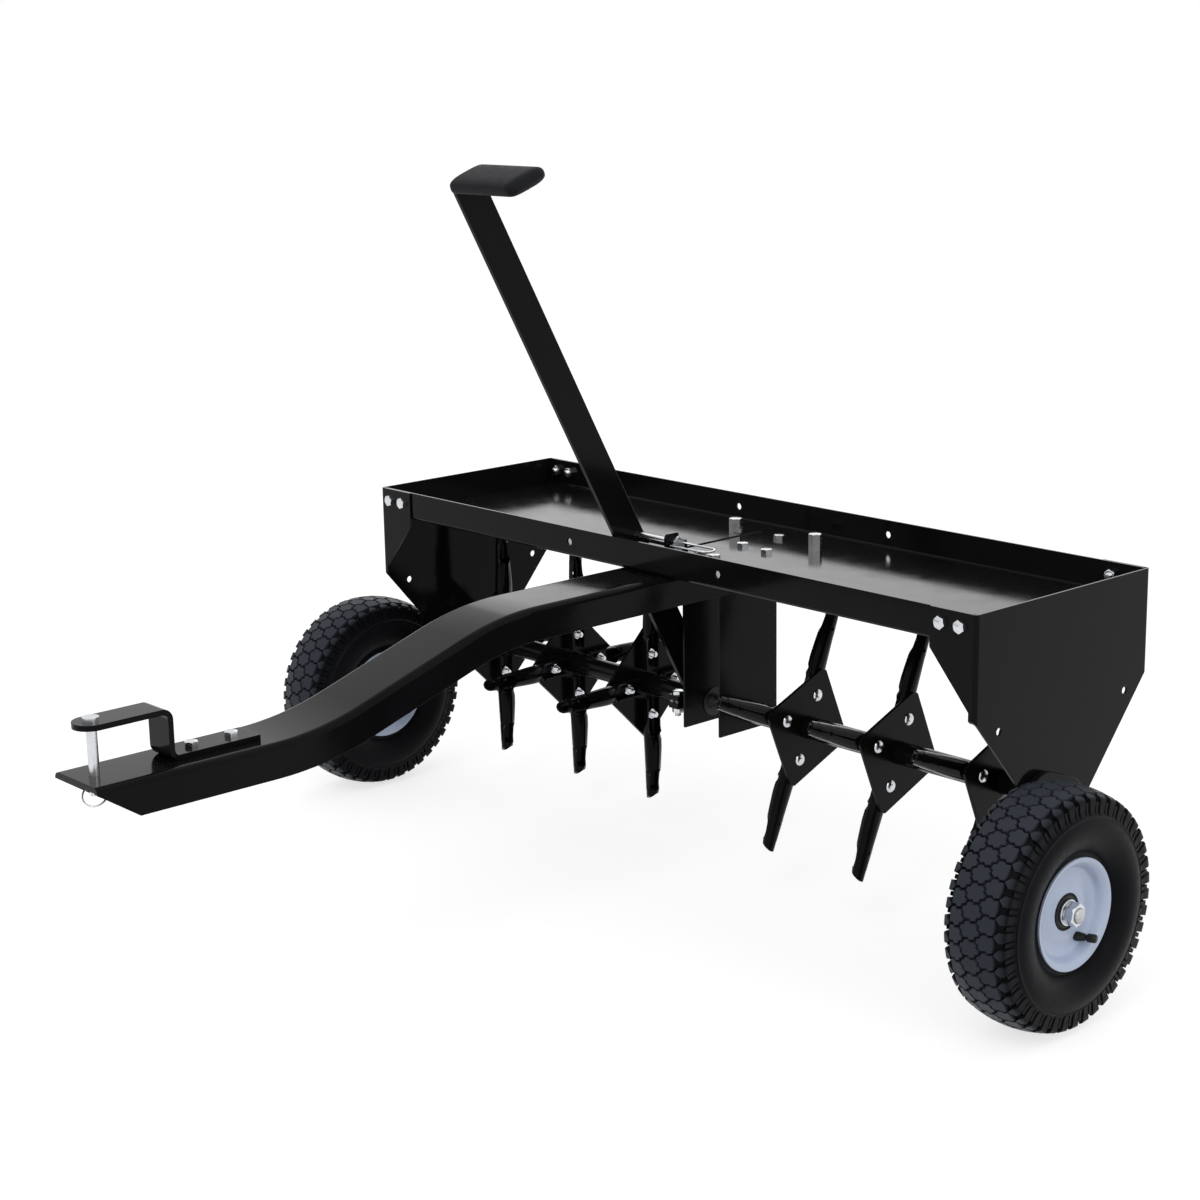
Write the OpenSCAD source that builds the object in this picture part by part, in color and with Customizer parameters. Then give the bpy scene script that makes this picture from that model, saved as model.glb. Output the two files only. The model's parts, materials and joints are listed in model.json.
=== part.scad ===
/* [Tray] */
// Width of the machine over its two end plates
tray_w = 1005; // [900:5:1200]
// Depth of the tray over its front and rear flanges
tray_d = 295; // [290:1:340]
// Height of the turned-up flanges
flange_h = 36; // [32:1:60]
// Thickness of the tray and end plate sheet
sheet_t = 2.5; // [1.5:0.5:3.5]
// Outside radius of the sheet bends
sheet_bend_r = 5; // [4:0.5:8]
// Height of the tray floor's underside above the cross shaft
floor_rise = 194; // [185:1:225]
// Distance between the two spare holes in each long flange
flange_hole_gap = 254; // [150:1:500]
// Diameter of the spare holes
spare_hole_d = 8.5; // [5:0.5:12]

/* [End plates] */
// Width of an end plate's own front and rear flange
end_flange_w = 62; // [50:1:90]
// Height above the shaft where the flange starts to taper
end_flange_rise = 186; // [150:1:190]
// Width of the flange at the foot of its taper
end_flange_tip_w = 9; // [7:1:20]
// Height of the plate's lower corner above the shaft
end_corner_rise = 116; // [100:1:140]
// Depth of the plate's lower edge below the shaft
end_drop = 24; // [22:1:40]
// Length of the plate's lower edge
end_foot_w = 60; // [50:1:120]
// Distance between the two spare holes in each end plate
end_hole_gap = 219; // [120:1:230]
// Height of those holes above the shaft
end_hole_rise = 98; // [70:1:110]
// Distance of the inner corner bolt from the plate's outer face
corner_bolt_in = 46.5; // [40:0.5:48]
// Distance between the two bolts of a corner
corner_bolt_gap = 26; // [20:1:30]
// Height of the corner bolts above the floor's underside
corner_bolt_rise = 21; // [18:1:24]

/* [Hangers] */
// Distance between the outer faces of the two hanger plates
hanger_gap = 64; // [50:1:66]
// Thickness of a hanger plate
hanger_t = 3; // [2:0.5:4]
// Depth of a hanger plate, front to back
hanger_d = 99; // [80:1:140]
// Depth of the hangers' lower edge below the shaft
hanger_drop = 24; // [20:1:40]
// Width of the left hanger's bolted flange
hanger_flange_l = 36; // [34:1:42]
// Width of the right hanger's bolted flange
hanger_flange_r = 22; // [20:1:30]

/* [Tow bar] */
// Distance from the cross shaft forward to the bar's front end
bar_reach = 903; // [850:1:1100]
// Outside width of the folded channel
bar_w = 82; // [78:1:100]
// Outside depth of the channel
bar_h = 38; // [34:1:50]
// Thickness of the bar's steel
bar_t = 6; // [4:0.5:7]
// Outside radius of the bar's long edges
bar_edge_r = 7; // [7:0.5:10]
// Drop of the bar's front end below its rear end
bar_drop = 80; // [60:1:100]
// Slope of the S bend
bar_slope = 18; // [15:1:22]
// Radius of the S bend at the bar's top face
bar_bend_r = 360; // [250:5:400]
// Length of the straight part in front of the S bend
bar_nose = 207.7; // [200:0.1:260]
// Distance from the shaft forward to the bar's rear end
bar_tail = 21; // [15:1:30]
// Length of the slanted cut on the bar's front corners
bar_nose_cut = 46; // [30:1:60]

/* [Hitch] */
// Width of the hitch strap
strap_w = 38; // [30:1:50]
// Thickness of the hitch strap
strap_t = 6; // [5:0.5:8]
// Clear height between the bar and the strap's upper arm
hitch_gap = 50; // [40:1:60]
// Distance from the bar's front end back to the drop pin
pin_back = 21; // [20:1:30]
// Length of the strap's lower leg behind its riser
strap_leg = 107; // [95:1:120]
// Inside radius of the strap's bends
strap_bend_r = 6; // [4:0.5:10]
// Diameter of the drop pin
drop_pin_d = 11; // [9:0.5:16]
// Reach of the drop pin below the bar's front underside
drop_pin_tail = 14; // [12:0.5:16]
// Outside diameter of the ring clip
ring_d = 26; // [22:1:27]
// Diameter of the ring clip's wire
ring_wire = 2; // [1.5:0.5:2.5]

/* [Shaft and lift] */
// Diameter of the cross shaft
shaft_d = 20; // [16:0.5:24]
// Distance from the wheel axle back to the cross shaft
crank_reach = 121; // [110:1:140]
// Height of the cross shaft above the wheel axle
crank_rise = 70; // [65:1:80]
// Thickness of the crank plates
crank_t = 8; // [6:0.5:10]
// Radius of the crank plate's top corner
crank_corner_r = 29; // [24:1:32]
// Diameter of the wheel spindle in the hub
spindle_d = 16; // [12:0.5:18]
// Diameter of the spindle's shoulder
shoulder_d = 24; // [22:1:30]
// Width of the flat lever bar
lever_w = 40; // [36:1:50]
// Thickness of the lever bar
lever_t = 6; // [5:0.5:7]
// Distance of the lever's middle from the machine's middle
lever_off = 50.5; // [48:0.5:52]
// Distance of the lever's middle line behind the shaft's axis
lever_set_back = 2.5; // [0:0.5:4]
// Forward lean of the lever in the transport position
lever_lean = 28.4; // [25:0.1:28.6]
// Length of the lever from the shaft to the outside of its bend
lever_len = 752; // [600:1:900]
// Swing of the lever from transport to work
lever_swing = 53; // [40:1:54]
// Length of the hand grip
grip_l = 103; // [85:1:130]
// Width of the hand grip
grip_w = 53; // [50:1:62]
// Thickness of the hand grip
grip_t = 25; // [18:1:32]
// Outside diameter of the lever's clamp collar
collar_d = 36; // [32:1:44]
// Length of the clamp collar
collar_l = 17; // [14:1:18]

/* [Lock] */
// Diameter of the lock pin
lock_pin_d = 10; // [8:0.5:12]
// Distance from the shaft to the lock pin along the lever
lock_along = 250; // [245:1:262]
// Offset of the lock pin behind the lever's middle line
lock_across = 11; // [8:0.5:14]
// Height of the lock ears above the tray floor
lock_ear_h = 42; // [40:1:55]

/* [Wheels] */
// Outside diameter of the tyre
tyre_d = 260; // [240:1:280]
// Width of the tyre
tyre_w = 88; // [84:1:94]
// Gap between a crank plate and the tyre
wheel_gap = 24.5; // [20:0.5:60]
// Outside diameter of the rim's lip
rim_d = 120; // [116:1:124]
// Width of the rim over its lips
rim_w = 68; // [60:1:72]
// Thickness of the rim's steel
rim_t = 2.5; // [2:0.5:3]
// Outside diameter of the hub tube
hub_d = 40; // [38:1:46]
// Length of the hub tube
hub_l = 46; // [40:1:52]
// Outside diameter of the wheel bearings
bearing_d = 35; // [32:1:36]
// Width of a wheel bearing
bearing_w = 11; // [9:1:13]
// Depth of the notches in the tyre's shoulders
notch_h = 5; // [3:0.5:7]
// Number of notches round each shoulder
notch_n = 42; // [24:1:48]

/* [Tine gangs] */
// Outer face of the first tine plate of the right gang, from the middle
gang_right = 132; // [115:1:140]
// The same for the left gang
gang_left = 154; // [150:1:156]
// Distance from the first to the second tine plate
pitch_inner = 142.5; // [120:0.5:145]
// Distance from the second to the third tine plate
pitch_outer = 151; // [120:0.5:153]
// Outside diameter of the spool tube
spool_od = 27; // [26:0.5:30]
// Wall of the spool tube
spool_wall = 2; // [1.5:0.5:2.5]
// Thickness of the square tine plates
plate_t = 4; // [3:0.5:5]
// Side of the square tine plates
plate_side = 107.5; // [100:0.5:112]
// Distance across the plate's cut-off corners, from the middle
plate_corner_r = 72; // [66:1:76]
// Distance of the tine bolts from the shaft's axis
tine_bolt_r = 40; // [38:1:48]
// Distance from the shaft's axis to the tine tips
tine_tip_r = 155; // [130:1:158]
// Width of the tine's root
tine_w = 20; // [18:0.5:22]
// Diameter of the rolled tine at its tip
tine_tip_w = 10; // [8:0.5:14]
// Thickness of the tine's steel
tine_t = 2.5; // [2:0.5:3]
// Turn of the right gang about the shaft
gang_phase = -22.5; // [-45:0.5:0]

/* [Bolts] */
// Thread diameter of the common bolts
bolt_d = 8; // [6:0.5:8]
// Width across flats of their heads and nuts
bolt_af = 13; // [12:0.5:13.5]
// Height of their heads
bolt_head_h = 5; // [4:0.5:6]
// Height of their nuts
nut_h = 6.5; // [5:0.5:8]
// Width across flats of the tall weight posts
post_af = 15; // [13:0.5:16]
// Height of the weight posts
post_h = 24; // [15:1:40]

/* [Hidden] */
$fn = 48;

// Clearance round a fixed bolt or pin in its hole
fit_gap = 0.1;
// Running clearance of a shaft in its bush
run_gap = 0.05;
// Gap between faces that slide or turn past each other
side_gap = 0.5;
// Depth by which straight edges start inside the rounds that they join
belt_sink = 0.05;
// Overlap that makes cuts pass through
cut = 1;

axle_z = tyre_d / 2;
shaft_z = axle_z + crank_rise;
rear_reach = max(tine_tip_r, tray_d / 2 + sheet_t + bolt_head_h);
shaft_y = (bar_reach - rear_reach) / 2;
axle_y = shaft_y - crank_reach;
plate_x = tray_w / 2;
floor_z = shaft_z + floor_rise;
floor_top_z = floor_z + sheet_t;
crank_x = plate_x + 2;
track = 2 * (crank_x + crank_t + wheel_gap) + tyre_w;
washer_t = 2.5;
axle_nut_h = 12;
spindle_end = track / 2 + hub_l / 2 + washer_t + axle_nut_h + 3;
hanger_x = hanger_gap / 2;
lever_x = -lever_off;
lever_face = lever_off + lever_t / 2;
collar_face = lever_face + collar_l;
slot_gap = 2;
lever_front = lever_w / 2 - lever_set_back;
lever_back = lever_w / 2 + lever_set_back;
slot_front = (floor_rise + sheet_t) * tan(lever_lean) + lever_front / cos(lever_lean) + slot_gap;
work_lean = lever_swing - lever_lean;
slot_rear = (floor_rise + sheet_t) * tan(work_lean) + lever_back / cos(work_lean) + slot_gap;
bush_wall = 3;
bush_flange_d = 36;
bush_flange_t = 1.5;
bush_od = shaft_d + 2 * bush_wall;
bar_front_z = floor_z - bar_drop;
bar_front_y = shaft_y - bar_reach;
pin_y = bar_front_y + pin_back;
strap_top_z = bar_front_z + hitch_gap + strap_t;
// Rear end and riser of the strap and the places of its bolts, behind the bar's front end
strap_back = bar_nose - 4.7;
riser_back = strap_back - strap_leg;
hitch_bolt_back = [strap_back - 71, strap_back - 23];
// Bolts through the tow bar, the left hanger, the right hanger and the tray alone,
// as distances from the machine's middle and behind the shaft
bar_bolt_at = [[-7, -43], [17, -43]];
left_hanger_bolt_at = [-5, 28];
right_hanger_bolt_at = [hanger_x + 9, 22];
tray_bolt_at = [-4, 92];
// Places of the two weight posts
post_at = [[-63.5, 75], [72, 75]];
lock_y = shaft_y - lock_along * sin(lever_lean) + lock_across * cos(lever_lean);
lock_z = shaft_z + lock_along * cos(lever_lean) + lock_across * sin(lever_lean);
lock_r = norm([lock_y - shaft_y, lock_z - shaft_z]);
// Lock ears: left face of each, thickness, front and rear overhang round the pin
ear_left_x = lever_x - lever_t / 2 - 7;
ear_right_x = 15;
ear_t = 4;
ear_foot = 14;
ear_front = 15;
ear_rear = 25;
head_x = ear_right_x + ear_t + side_gap;
lock_head_af = 17;
lock_head_h = 6;
pull_l = 46;
pull_wire = 2.5;

// Two-dimensional helpers

module ring_part(r_in, r_out, a0, a1) {
    far = 2 * r_out;
    mid = (a0 + a1) / 2;
    intersection() {
        difference() {
            circle(r = r_out);
            circle(r = r_in);
        }
        polygon([[0, 0], [far * cos(a0), far * sin(a0)], [far * cos(mid), far * sin(mid)],
            [far * cos(a1), far * sin(a1)]]);
    }
}

// Sheet folded to a U, open upwards, with rounded outer corners
module folded_u(width, height, t, r) {
    translate([r, 0]) square([width - 2 * r, t]);
    for (side = [0, width - t]) translate([side, r]) square([t, height - r]);
    translate([r, r]) ring_part(r - t, r, 180, 270);
    translate([width - r, r]) ring_part(r - t, r, 270, 360);
}

// Direction of the outer tangent's normal, on the right of the way from one circle to the next
function tangent_normal(p, r, q, s) =
    let (way = q - p, angle = atan2(way[1], way[0]) - acos((r - s) / norm(way)))
    [cos(angle), sin(angle)];

// Outline round circles, given anticlockwise as [centre, radius]
module belt_2d(rounds) {
    n = len(rounds);
    for (c = rounds) translate(c[0]) circle(r = c[1]);
    polygon([for (i = [0 : n - 1]) let (a = rounds[i], b = rounds[(i + 1) % n],
        u = tangent_normal(a[0], a[1], b[0], b[1]))
        each [a[0] + (a[1] - belt_sink) * u, b[0] + (b[1] - belt_sink) * u]]);
}

// Placing helpers

// Turns an outline in Y and Z into a plate that starts at x and goes towards +X
module plate_x_from(x, t) {
    translate([x, 0, 0]) rotate([90, 0, 90]) linear_extrude(t) children();
}

module at_shaft() {
    translate([0, shaft_y, shaft_z]) children();
}

module right_or_left(side) {
    if (side > 0) children();
    else mirror([1, 0, 0]) children();
}

// Fasteners: heads and nuts stand on z = 0 and shanks hang below it

module hex_bolt(d, len, af, head_h) {
    cylinder(d = af / cos(30), h = head_h, $fn = 6);
    translate([0, 0, -len]) cylinder(d = d, h = len + head_h / 2);
}

module hex_nut(d, af, h) {
    difference() {
        cylinder(d = af / cos(30), h = h, $fn = 6);
        translate([0, 0, -cut]) cylinder(d = d + 2 * fit_gap, h = h + 2 * cut);
    }
}

module dome_bolt(d, len, head_d, head_h) {
    ball_r = (head_d * head_d / 4 + head_h * head_h) / (2 * head_h);
    intersection() {
        translate([0, 0, head_h - ball_r]) sphere(r = ball_r);
        cylinder(d = head_d + cut, h = head_h + cut);
    }
    translate([0, 0, -len]) cylinder(d = d, h = len + head_h / 2);
}

module drill_z(d, depth) {
    translate([0, 0, -depth]) cylinder(d = d, h = 2 * depth);
}

// Tray and end plates

// The tray's flanges stop short of the end plates' inside corners
flange_relief = sheet_bend_r - sheet_t + side_gap;

module flange_holes() {
    for (side = [-1, 1]) translate([side * flange_hole_gap / 2, shaft_y, floor_z + flange_h / 2])
        rotate([90, 0, 0]) drill_z(spare_hole_d, tray_d);
}

module corner_places(depth) {
    for (side = [-1, 1], end = [0, 1], facing = [0, 180])
        translate([side * (plate_x - corner_bolt_in + end * corner_bolt_gap), shaft_y,
            floor_z + corner_bolt_rise])
            rotate([90, 0, facing]) translate([0, 0, depth]) children();
}

module tray_bolt_places() {
    for (p = concat(bar_bolt_at, [left_hanger_bolt_at, right_hanger_bolt_at, tray_bolt_at]))
        translate([p[0], shaft_y + p[1], floor_top_z]) children();
}

module post_places() {
    for (p = post_at) translate([p[0], shaft_y + p[1], floor_top_z]) children();
}

module tray() {
    color("#17181b") difference() {
        translate([0, shaft_y - tray_d / 2, floor_z])
            plate_x_from(-plate_x + sheet_t, tray_w - 2 * sheet_t)
            folded_u(tray_d, flange_h, sheet_t, sheet_bend_r);
        translate([lever_x - lever_t / 2 - cut, shaft_y - slot_front, floor_z - cut])
            cube([lever_t + 2 * cut, slot_front + slot_rear, sheet_t + 2 * cut]);
        for (side = [-1, 1], end = [-1, 1])
            translate([side * (plate_x - sheet_t), shaft_y + end * tray_d / 2, floor_z + flange_h / 2])
            cube([2 * flange_relief, 2 * (sheet_t + fit_gap), flange_h + 2 * cut], center = true);
        flange_holes();
        corner_places(0) drill_z(bolt_d + 2 * fit_gap, tray_d);
        tray_bolt_places() drill_z(bolt_d + 2 * fit_gap, 2 * sheet_t);
        post_places() drill_z(bolt_d + 2 * fit_gap, 2 * sheet_t);
    }
}

// Side view of an end plate below its corners
module end_cutaway() {
    half = tray_d / 2 + sheet_t;
    for (side = [-1, 1])
        polygon([[side * half, end_corner_rise], [side * end_foot_w / 2, -end_drop],
            [side * end_foot_w / 2, -end_drop - 2 * cut], [side * (half + 2 * cut), -end_drop - 2 * cut],
            [side * (half + 2 * cut), end_corner_rise]]);
}

module end_plate(side) {
    depth = tray_d + 2 * sheet_t;
    top = floor_rise + flange_h;
    in_face = plate_x - end_flange_w;
    color("#17181b") at_shaft() right_or_left(side) difference() {
        translate([plate_x, -depth / 2, -end_drop]) rotate([0, 0, 90]) linear_extrude(top + end_drop)
            folded_u(depth, end_flange_w, sheet_t, sheet_bend_r);
        plate_x_from(in_face - cut, end_flange_w + 2 * cut) end_cutaway();
        for (y = [-depth / 2 - cut, depth / 2 - 2 * sheet_t])
            translate([0, y + 2 * sheet_t + cut, 0]) rotate([90, 0, 0]) linear_extrude(2 * sheet_t + cut)
            polygon([[in_face - cut, end_flange_rise], [in_face, end_flange_rise],
                [plate_x - end_flange_tip_w, end_corner_rise + end_flange_tip_w],
                [plate_x - end_flange_tip_w, -end_drop - cut], [in_face - cut, -end_drop - cut]]);
        for (y = [-1, 1]) translate([plate_x, y * end_hole_gap / 2, end_hole_rise]) rotate([0, 90, 0])
            drill_z(spare_hole_d, 2 * sheet_t);
        rotate([0, 90, 0]) cylinder(d = bush_od + 2 * fit_gap, h = plate_x + cut);
        translate([0, -shaft_y, -shaft_z]) corner_places(0) drill_z(bolt_d + 2 * fit_gap, tray_d);
    }
}

module end_plate_left() {
    end_plate(-1);
}

module end_plate_right() {
    end_plate(1);
}

// Hangers: one plate on each side of the middle, with a bolted flange under the floor

module hanger(x, flange_w, flange_x, bolt_at) {
    back = hanger_d / 2;
    front_of_flange = -bar_tail + side_gap;
    color("#141517") at_shaft() difference() {
        union() {
            plate_x_from(x, hanger_t) translate([-hanger_d / 2, -hanger_drop])
                square([hanger_d, hanger_drop + floor_rise]);
            translate([flange_x, front_of_flange, floor_rise - hanger_t])
                cube([flange_w, back - front_of_flange, hanger_t]);
        }
        translate([x - cut, -hanger_d / 2 - cut, floor_rise - bar_t])
            cube([hanger_t + 2 * cut, back + front_of_flange + cut, bar_t + cut]);
        rotate([0, 90, 0]) drill_z(bush_od + 2 * fit_gap, 2 * hanger_x);
        translate([bolt_at[0], bolt_at[1], floor_rise]) drill_z(bolt_d + 2 * fit_gap, 3 * hanger_t);
    }
}

module hanger_left() {
    hanger(-hanger_x, hanger_flange_l, -hanger_x, left_hanger_bolt_at);
}

module hanger_right() {
    hanger(hanger_x - hanger_t, hanger_flange_r, hanger_x - hanger_t, right_hanger_bolt_at);
}

// Tow bar: the folded section is carried along the bar's side line, station by station

bar_steps = 8;
edge_steps = 4;

// Rounded corner of the section as [across, depth] points, from its side to its top
function bar_corner(side, r) = [for (i = [0 : edge_steps])
    let (a = side < 0 ? 90 * i / edge_steps : 90 - 90 * i / edge_steps)
    [side * (bar_w / 2 - bar_edge_r + r * cos(a)), bar_edge_r - r * sin(a)]];

// One skin of the channel, from the foot of the left wall over the top to the right foot
function bar_skin(r) = concat([[-bar_w / 2 + bar_edge_r - r, bar_h]], bar_corner(-1, r), bar_corner(1, r),
    [[bar_w / 2 - bar_edge_r + r, bar_h]]);

// Stations as [y, z, slope], front to rear
function bar_line() = concat(
    [[bar_front_y, bar_front_z, 0]],
    [for (i = [0 : bar_steps]) let (a = bar_slope * i / bar_steps)
        [bend_start_y + bar_bend_r * sin(a), bar_front_z + bar_bend_r * (1 - cos(a)), a]],
    [for (i = [bar_steps : -1 : 0]) let (a = bar_slope * i / bar_steps)
        [bend_end_y - bar_bend_r * sin(a), floor_z - bar_bend_r * (1 - cos(a)), a]],
    [[bar_rear_y, floor_z, 0]]);

module bar_shell() {
    skin = concat(bar_skin(bar_edge_r), bar_skin(bar_edge_r - bar_t));
    line = bar_line();
    n = len(skin);
    m = n / 2;
    last = len(line) - 1;
    function at(k, i) = k * n + i;
    points = [for (p = line, q = skin)
        [q[0], p[0] + q[1] * sin(p[2]), p[1] - q[1] * cos(p[2])]];
    outer = [for (k = [0 : last - 1], i = [0 : m - 2])
        [at(k, i), at(k + 1, i), at(k + 1, i + 1), at(k, i + 1)]];
    inner = [for (k = [0 : last - 1], i = [m : n - 2])
        [at(k, i), at(k, i + 1), at(k + 1, i + 1), at(k + 1, i)]];
    left_foot = [for (k = [0 : last - 1]) [at(k, 0), at(k, m), at(k + 1, m), at(k + 1, 0)]];
    right_foot = [for (k = [0 : last - 1]) [at(k, m - 1), at(k + 1, m - 1), at(k + 1, n - 1), at(k, n - 1)]];
    front = [for (i = [0 : m - 2]) [at(0, i), at(0, i + 1), at(0, i + m + 1), at(0, i + m)]];
    rear = [for (i = [0 : m - 2]) [at(last, i), at(last, i + m), at(last, i + m + 1), at(last, i + 1)]];
    faces = [for (f = concat(outer, inner, left_foot, right_foot, front, rear))
        each [[f[0], f[1], f[2]], [f[0], f[2], f[3]]]];
    polyhedron(points, faces);
}

bend_run = bar_bend_r * sin(bar_slope);
bend_rise = bar_bend_r * (1 - cos(bar_slope));
slope_len = (bar_drop - 2 * bend_rise) / sin(bar_slope);
bend_start_y = bar_front_y + bar_nose;
bend_end_y = bend_start_y + 2 * bend_run + slope_len * cos(bar_slope);
bar_rear_y = shaft_y - bar_tail;

module tow_bar() {
    half = bar_w / 2;
    color("#17181b") difference() {
        bar_shell();
        plate_x_from(-half - cut, bar_w + 2 * cut)
            polygon([[bar_front_y - cut, bar_front_z - bar_t - 1], [bar_front_y, bar_front_z - bar_t - 1],
                [bar_front_y + bar_nose_cut, bar_front_z - bar_h],
                [bar_front_y + bar_nose_cut, bar_front_z - bar_h - cut],
                [bar_front_y - cut, bar_front_z - bar_h - cut]]);
        translate([0, pin_y, bar_front_z]) drill_z(drop_pin_d + 2 * run_gap, bar_h);
        for (back = hitch_bolt_back) translate([0, bar_front_y + back, bar_front_z])
            drill_z(bolt_d + 2 * fit_gap, bar_h);
        for (p = bar_bolt_at) translate([p[0], shaft_y + p[1], floor_z]) drill_z(bolt_d + 2 * fit_gap, bar_h);
    }
}

// Hitch strap, pin and clip

module strap_side() {
    r = strap_bend_r;
    outer = r + strap_t;
    riser_h = hitch_gap + strap_t;
    square_top = hitch_gap;
    translate([riser_back + outer, 0]) square([strap_back - riser_back - outer, strap_t]);
    translate([riser_back + outer, outer]) ring_part(r, outer, 180, 270);
    translate([riser_back, outer]) square([strap_t, riser_h - 2 * outer]);
    translate([riser_back - r, riser_h - outer]) ring_part(r, outer, 0, 90);
    translate([pin_back - strap_w, square_top]) square([riser_back - r - pin_back + strap_w, strap_t]);
}

module hitch_strap() {
    color("#1a1b1e") translate([0, bar_front_y, bar_front_z]) difference() {
        plate_x_from(-strap_w / 2, strap_w) strap_side();
        difference() {
            translate([-strap_w, pin_back - 2 * strap_w, hitch_gap - cut])
                cube([2 * strap_w, 2 * strap_w, strap_t + 2 * cut]);
            translate([0, pin_back, 0]) cylinder(d = strap_w, h = 2 * hitch_gap);
        }
        translate([0, pin_back, hitch_gap]) drill_z(drop_pin_d + 2 * run_gap, 2 * strap_t);
        for (back = hitch_bolt_back) translate([0, back, 0]) drill_z(bolt_d + 2 * fit_gap, 2 * strap_t);
    }
}

module hitch_bolts() {
    color("#c9ccd1") for (back = hitch_bolt_back) translate([0, bar_front_y + back, bar_front_z + strap_t])
        hex_bolt(bolt_d, strap_t + bar_t + nut_h + 3, bolt_af, bolt_head_h);
}

module hitch_nuts() {
    color("#c9ccd1") for (back = hitch_bolt_back)
        translate([0, bar_front_y + back, bar_front_z - bar_t - nut_h]) hex_nut(bolt_d, bolt_af, nut_h);
}

drop_head_h = 4;
clip_z = bar_front_z - bar_t - 7;
// Turn of the ring clip with the drop pin, and its lean from hanging straight down
clip_turn = 48;
ring_tilt = -45;
ring_r = (ring_d - ring_wire) / 2;

module hitch_pin() {
    bottom = bar_front_z - bar_t - drop_pin_tail;
    color("#d3d6da") difference() {
        union() {
            translate([0, pin_y, bottom]) cylinder(d = drop_pin_d, h = strap_top_z - bottom + drop_head_h / 2);
            translate([0, pin_y, strap_top_z]) cylinder(d = drop_pin_d + 6, h = drop_head_h);
        }
        translate([0, pin_y, clip_z]) rotate([0, 90, clip_turn])
            drill_z(ring_wire + 2 * run_gap, drop_pin_d);
    }
}

module hitch_clip() {
    leg = 2 * ring_r * sin(45);
    color("#d3d6da") translate([0, pin_y, clip_z]) rotate([0, 0, clip_turn]) {
        translate([-leg / 2, 0, 0]) rotate([0, 90, 0]) cylinder(d = ring_wire, h = leg);
        for (side = [-1, 1]) translate([side * leg / 2, 0, 0]) sphere(d = ring_wire + fit_gap);
        rotate([ring_tilt, 0, 0]) translate([0, 0, -ring_r * sin(45)]) rotate([90, 0, 0])
            rotate([0, 0, 135]) rotate_extrude(angle = 270) translate([ring_r, 0]) circle(d = ring_wire);
    }
}

// Bolts and nuts of the frame

module corner_bolts() {
    color("#c9ccd1") corner_places(tray_d / 2 + sheet_t)
        hex_bolt(bolt_d, 2 * sheet_t + nut_h + 4, bolt_af, bolt_head_h);
}

module corner_nuts() {
    color("#c9ccd1") corner_places(tray_d / 2 - sheet_t - nut_h) hex_nut(bolt_d, bolt_af, nut_h);
}

module tray_bolts() {
    color("#c9ccd1") tray_bolt_places() hex_bolt(bolt_d, sheet_t + bar_t + nut_h + 3, bolt_af, bolt_head_h);
}

module nut_below(p, seat) {
    translate([p[0], shaft_y + p[1], floor_z - seat - nut_h]) hex_nut(bolt_d, bolt_af, nut_h);
}

module tray_nuts() {
    color("#c9ccd1") {
        for (p = bar_bolt_at) nut_below(p, bar_t);
        nut_below(left_hanger_bolt_at, hanger_t);
        nut_below(right_hanger_bolt_at, hanger_t);
        for (p = concat([tray_bolt_at], post_at)) nut_below(p, 0);
    }
}

module weight_posts() {
    color("#c9ccd1") post_places() hex_bolt(bolt_d, sheet_t + nut_h + 3, post_af, post_h);
}

// Lock ears: hooks that are open to the rear along the pin's own arc

module ear_side() {
    foot_z = floor_top_z - shaft_z;
    y0 = lock_y - shaft_y;
    difference() {
        translate([y0 - ear_front, foot_z]) square([ear_front + ear_rear, lock_ear_h]);
        translate([y0 + ear_rear, foot_z + lock_ear_h]) circle(r = 10);
        intersection() {
            difference() {
                circle(r = lock_r + lock_pin_d / 2 + side_gap, $fn = 96);
                circle(r = lock_r - lock_pin_d / 2 - side_gap, $fn = 96);
            }
            translate([y0, 0]) square([lock_r, 2 * lock_r]);
        }
        translate([y0, lock_z - shaft_z]) circle(d = lock_pin_d + 2 * side_gap);
    }
}

module lock_ear(x, foot_side) {
    foot_x = foot_side > 0 ? x + ear_t : x - ear_foot;
    at_shaft() plate_x_from(x, ear_t) ear_side();
    translate([foot_x, lock_y - ear_front, floor_top_z]) cube([ear_foot, ear_front + ear_rear, ear_t]);
}

module lock_ears() {
    color("#141517") {
        lock_ear(ear_left_x, -1);
        lock_ear(ear_right_x, 1);
    }
}

// Bushes that carry the cross shaft

module flanged_bush(inner_x, len) {
    at_shaft() translate([inner_x, 0, 0]) rotate([0, 90, 0]) difference() {
        union() {
            cylinder(d = bush_od, h = len);
            translate([0, 0, len]) cylinder(d = bush_flange_d, h = bush_flange_t);
        }
        translate([0, 0, -cut]) cylinder(d = shaft_d + 2 * run_gap, h = len + bush_flange_t + 2 * cut);
    }
}

module shaft_bushes() {
    color("#8f8a78") for (side = [1, -1]) right_or_left(side) {
        flanged_bush(plate_x - sheet_t, sheet_t);
        mirror([1, 0, 0]) flanged_bush(-hanger_x, hanger_t);
    }
}

// Lift: shaft, cranks, spindles and lever

module cross_shaft() {
    color("#3a3c40") at_shaft() rotate([0, 90, 0])
        translate([0, 0, -crank_x - crank_t]) cylinder(d = shaft_d, h = 2 * (crank_x + crank_t));
}

module crank(side) {
    spindle_at = [-crank_reach, -crank_rise];
    corner_at = [-crank_reach / 3, crank_rise / 7];
    color("#17181b") at_shaft() right_or_left(side) plate_x_from(crank_x, crank_t) difference() {
        belt_2d([[[0, 0], crank_corner_r - 4], [corner_at, crank_corner_r], [spindle_at, shoulder_d - 2]]);
        circle(d = shaft_d + 2 * run_gap);
        translate(spindle_at) circle(d = shoulder_d - 4 + 2 * run_gap);
    }
}

module crank_left() {
    crank(-1);
}

module crank_right() {
    crank(1);
}

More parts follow.
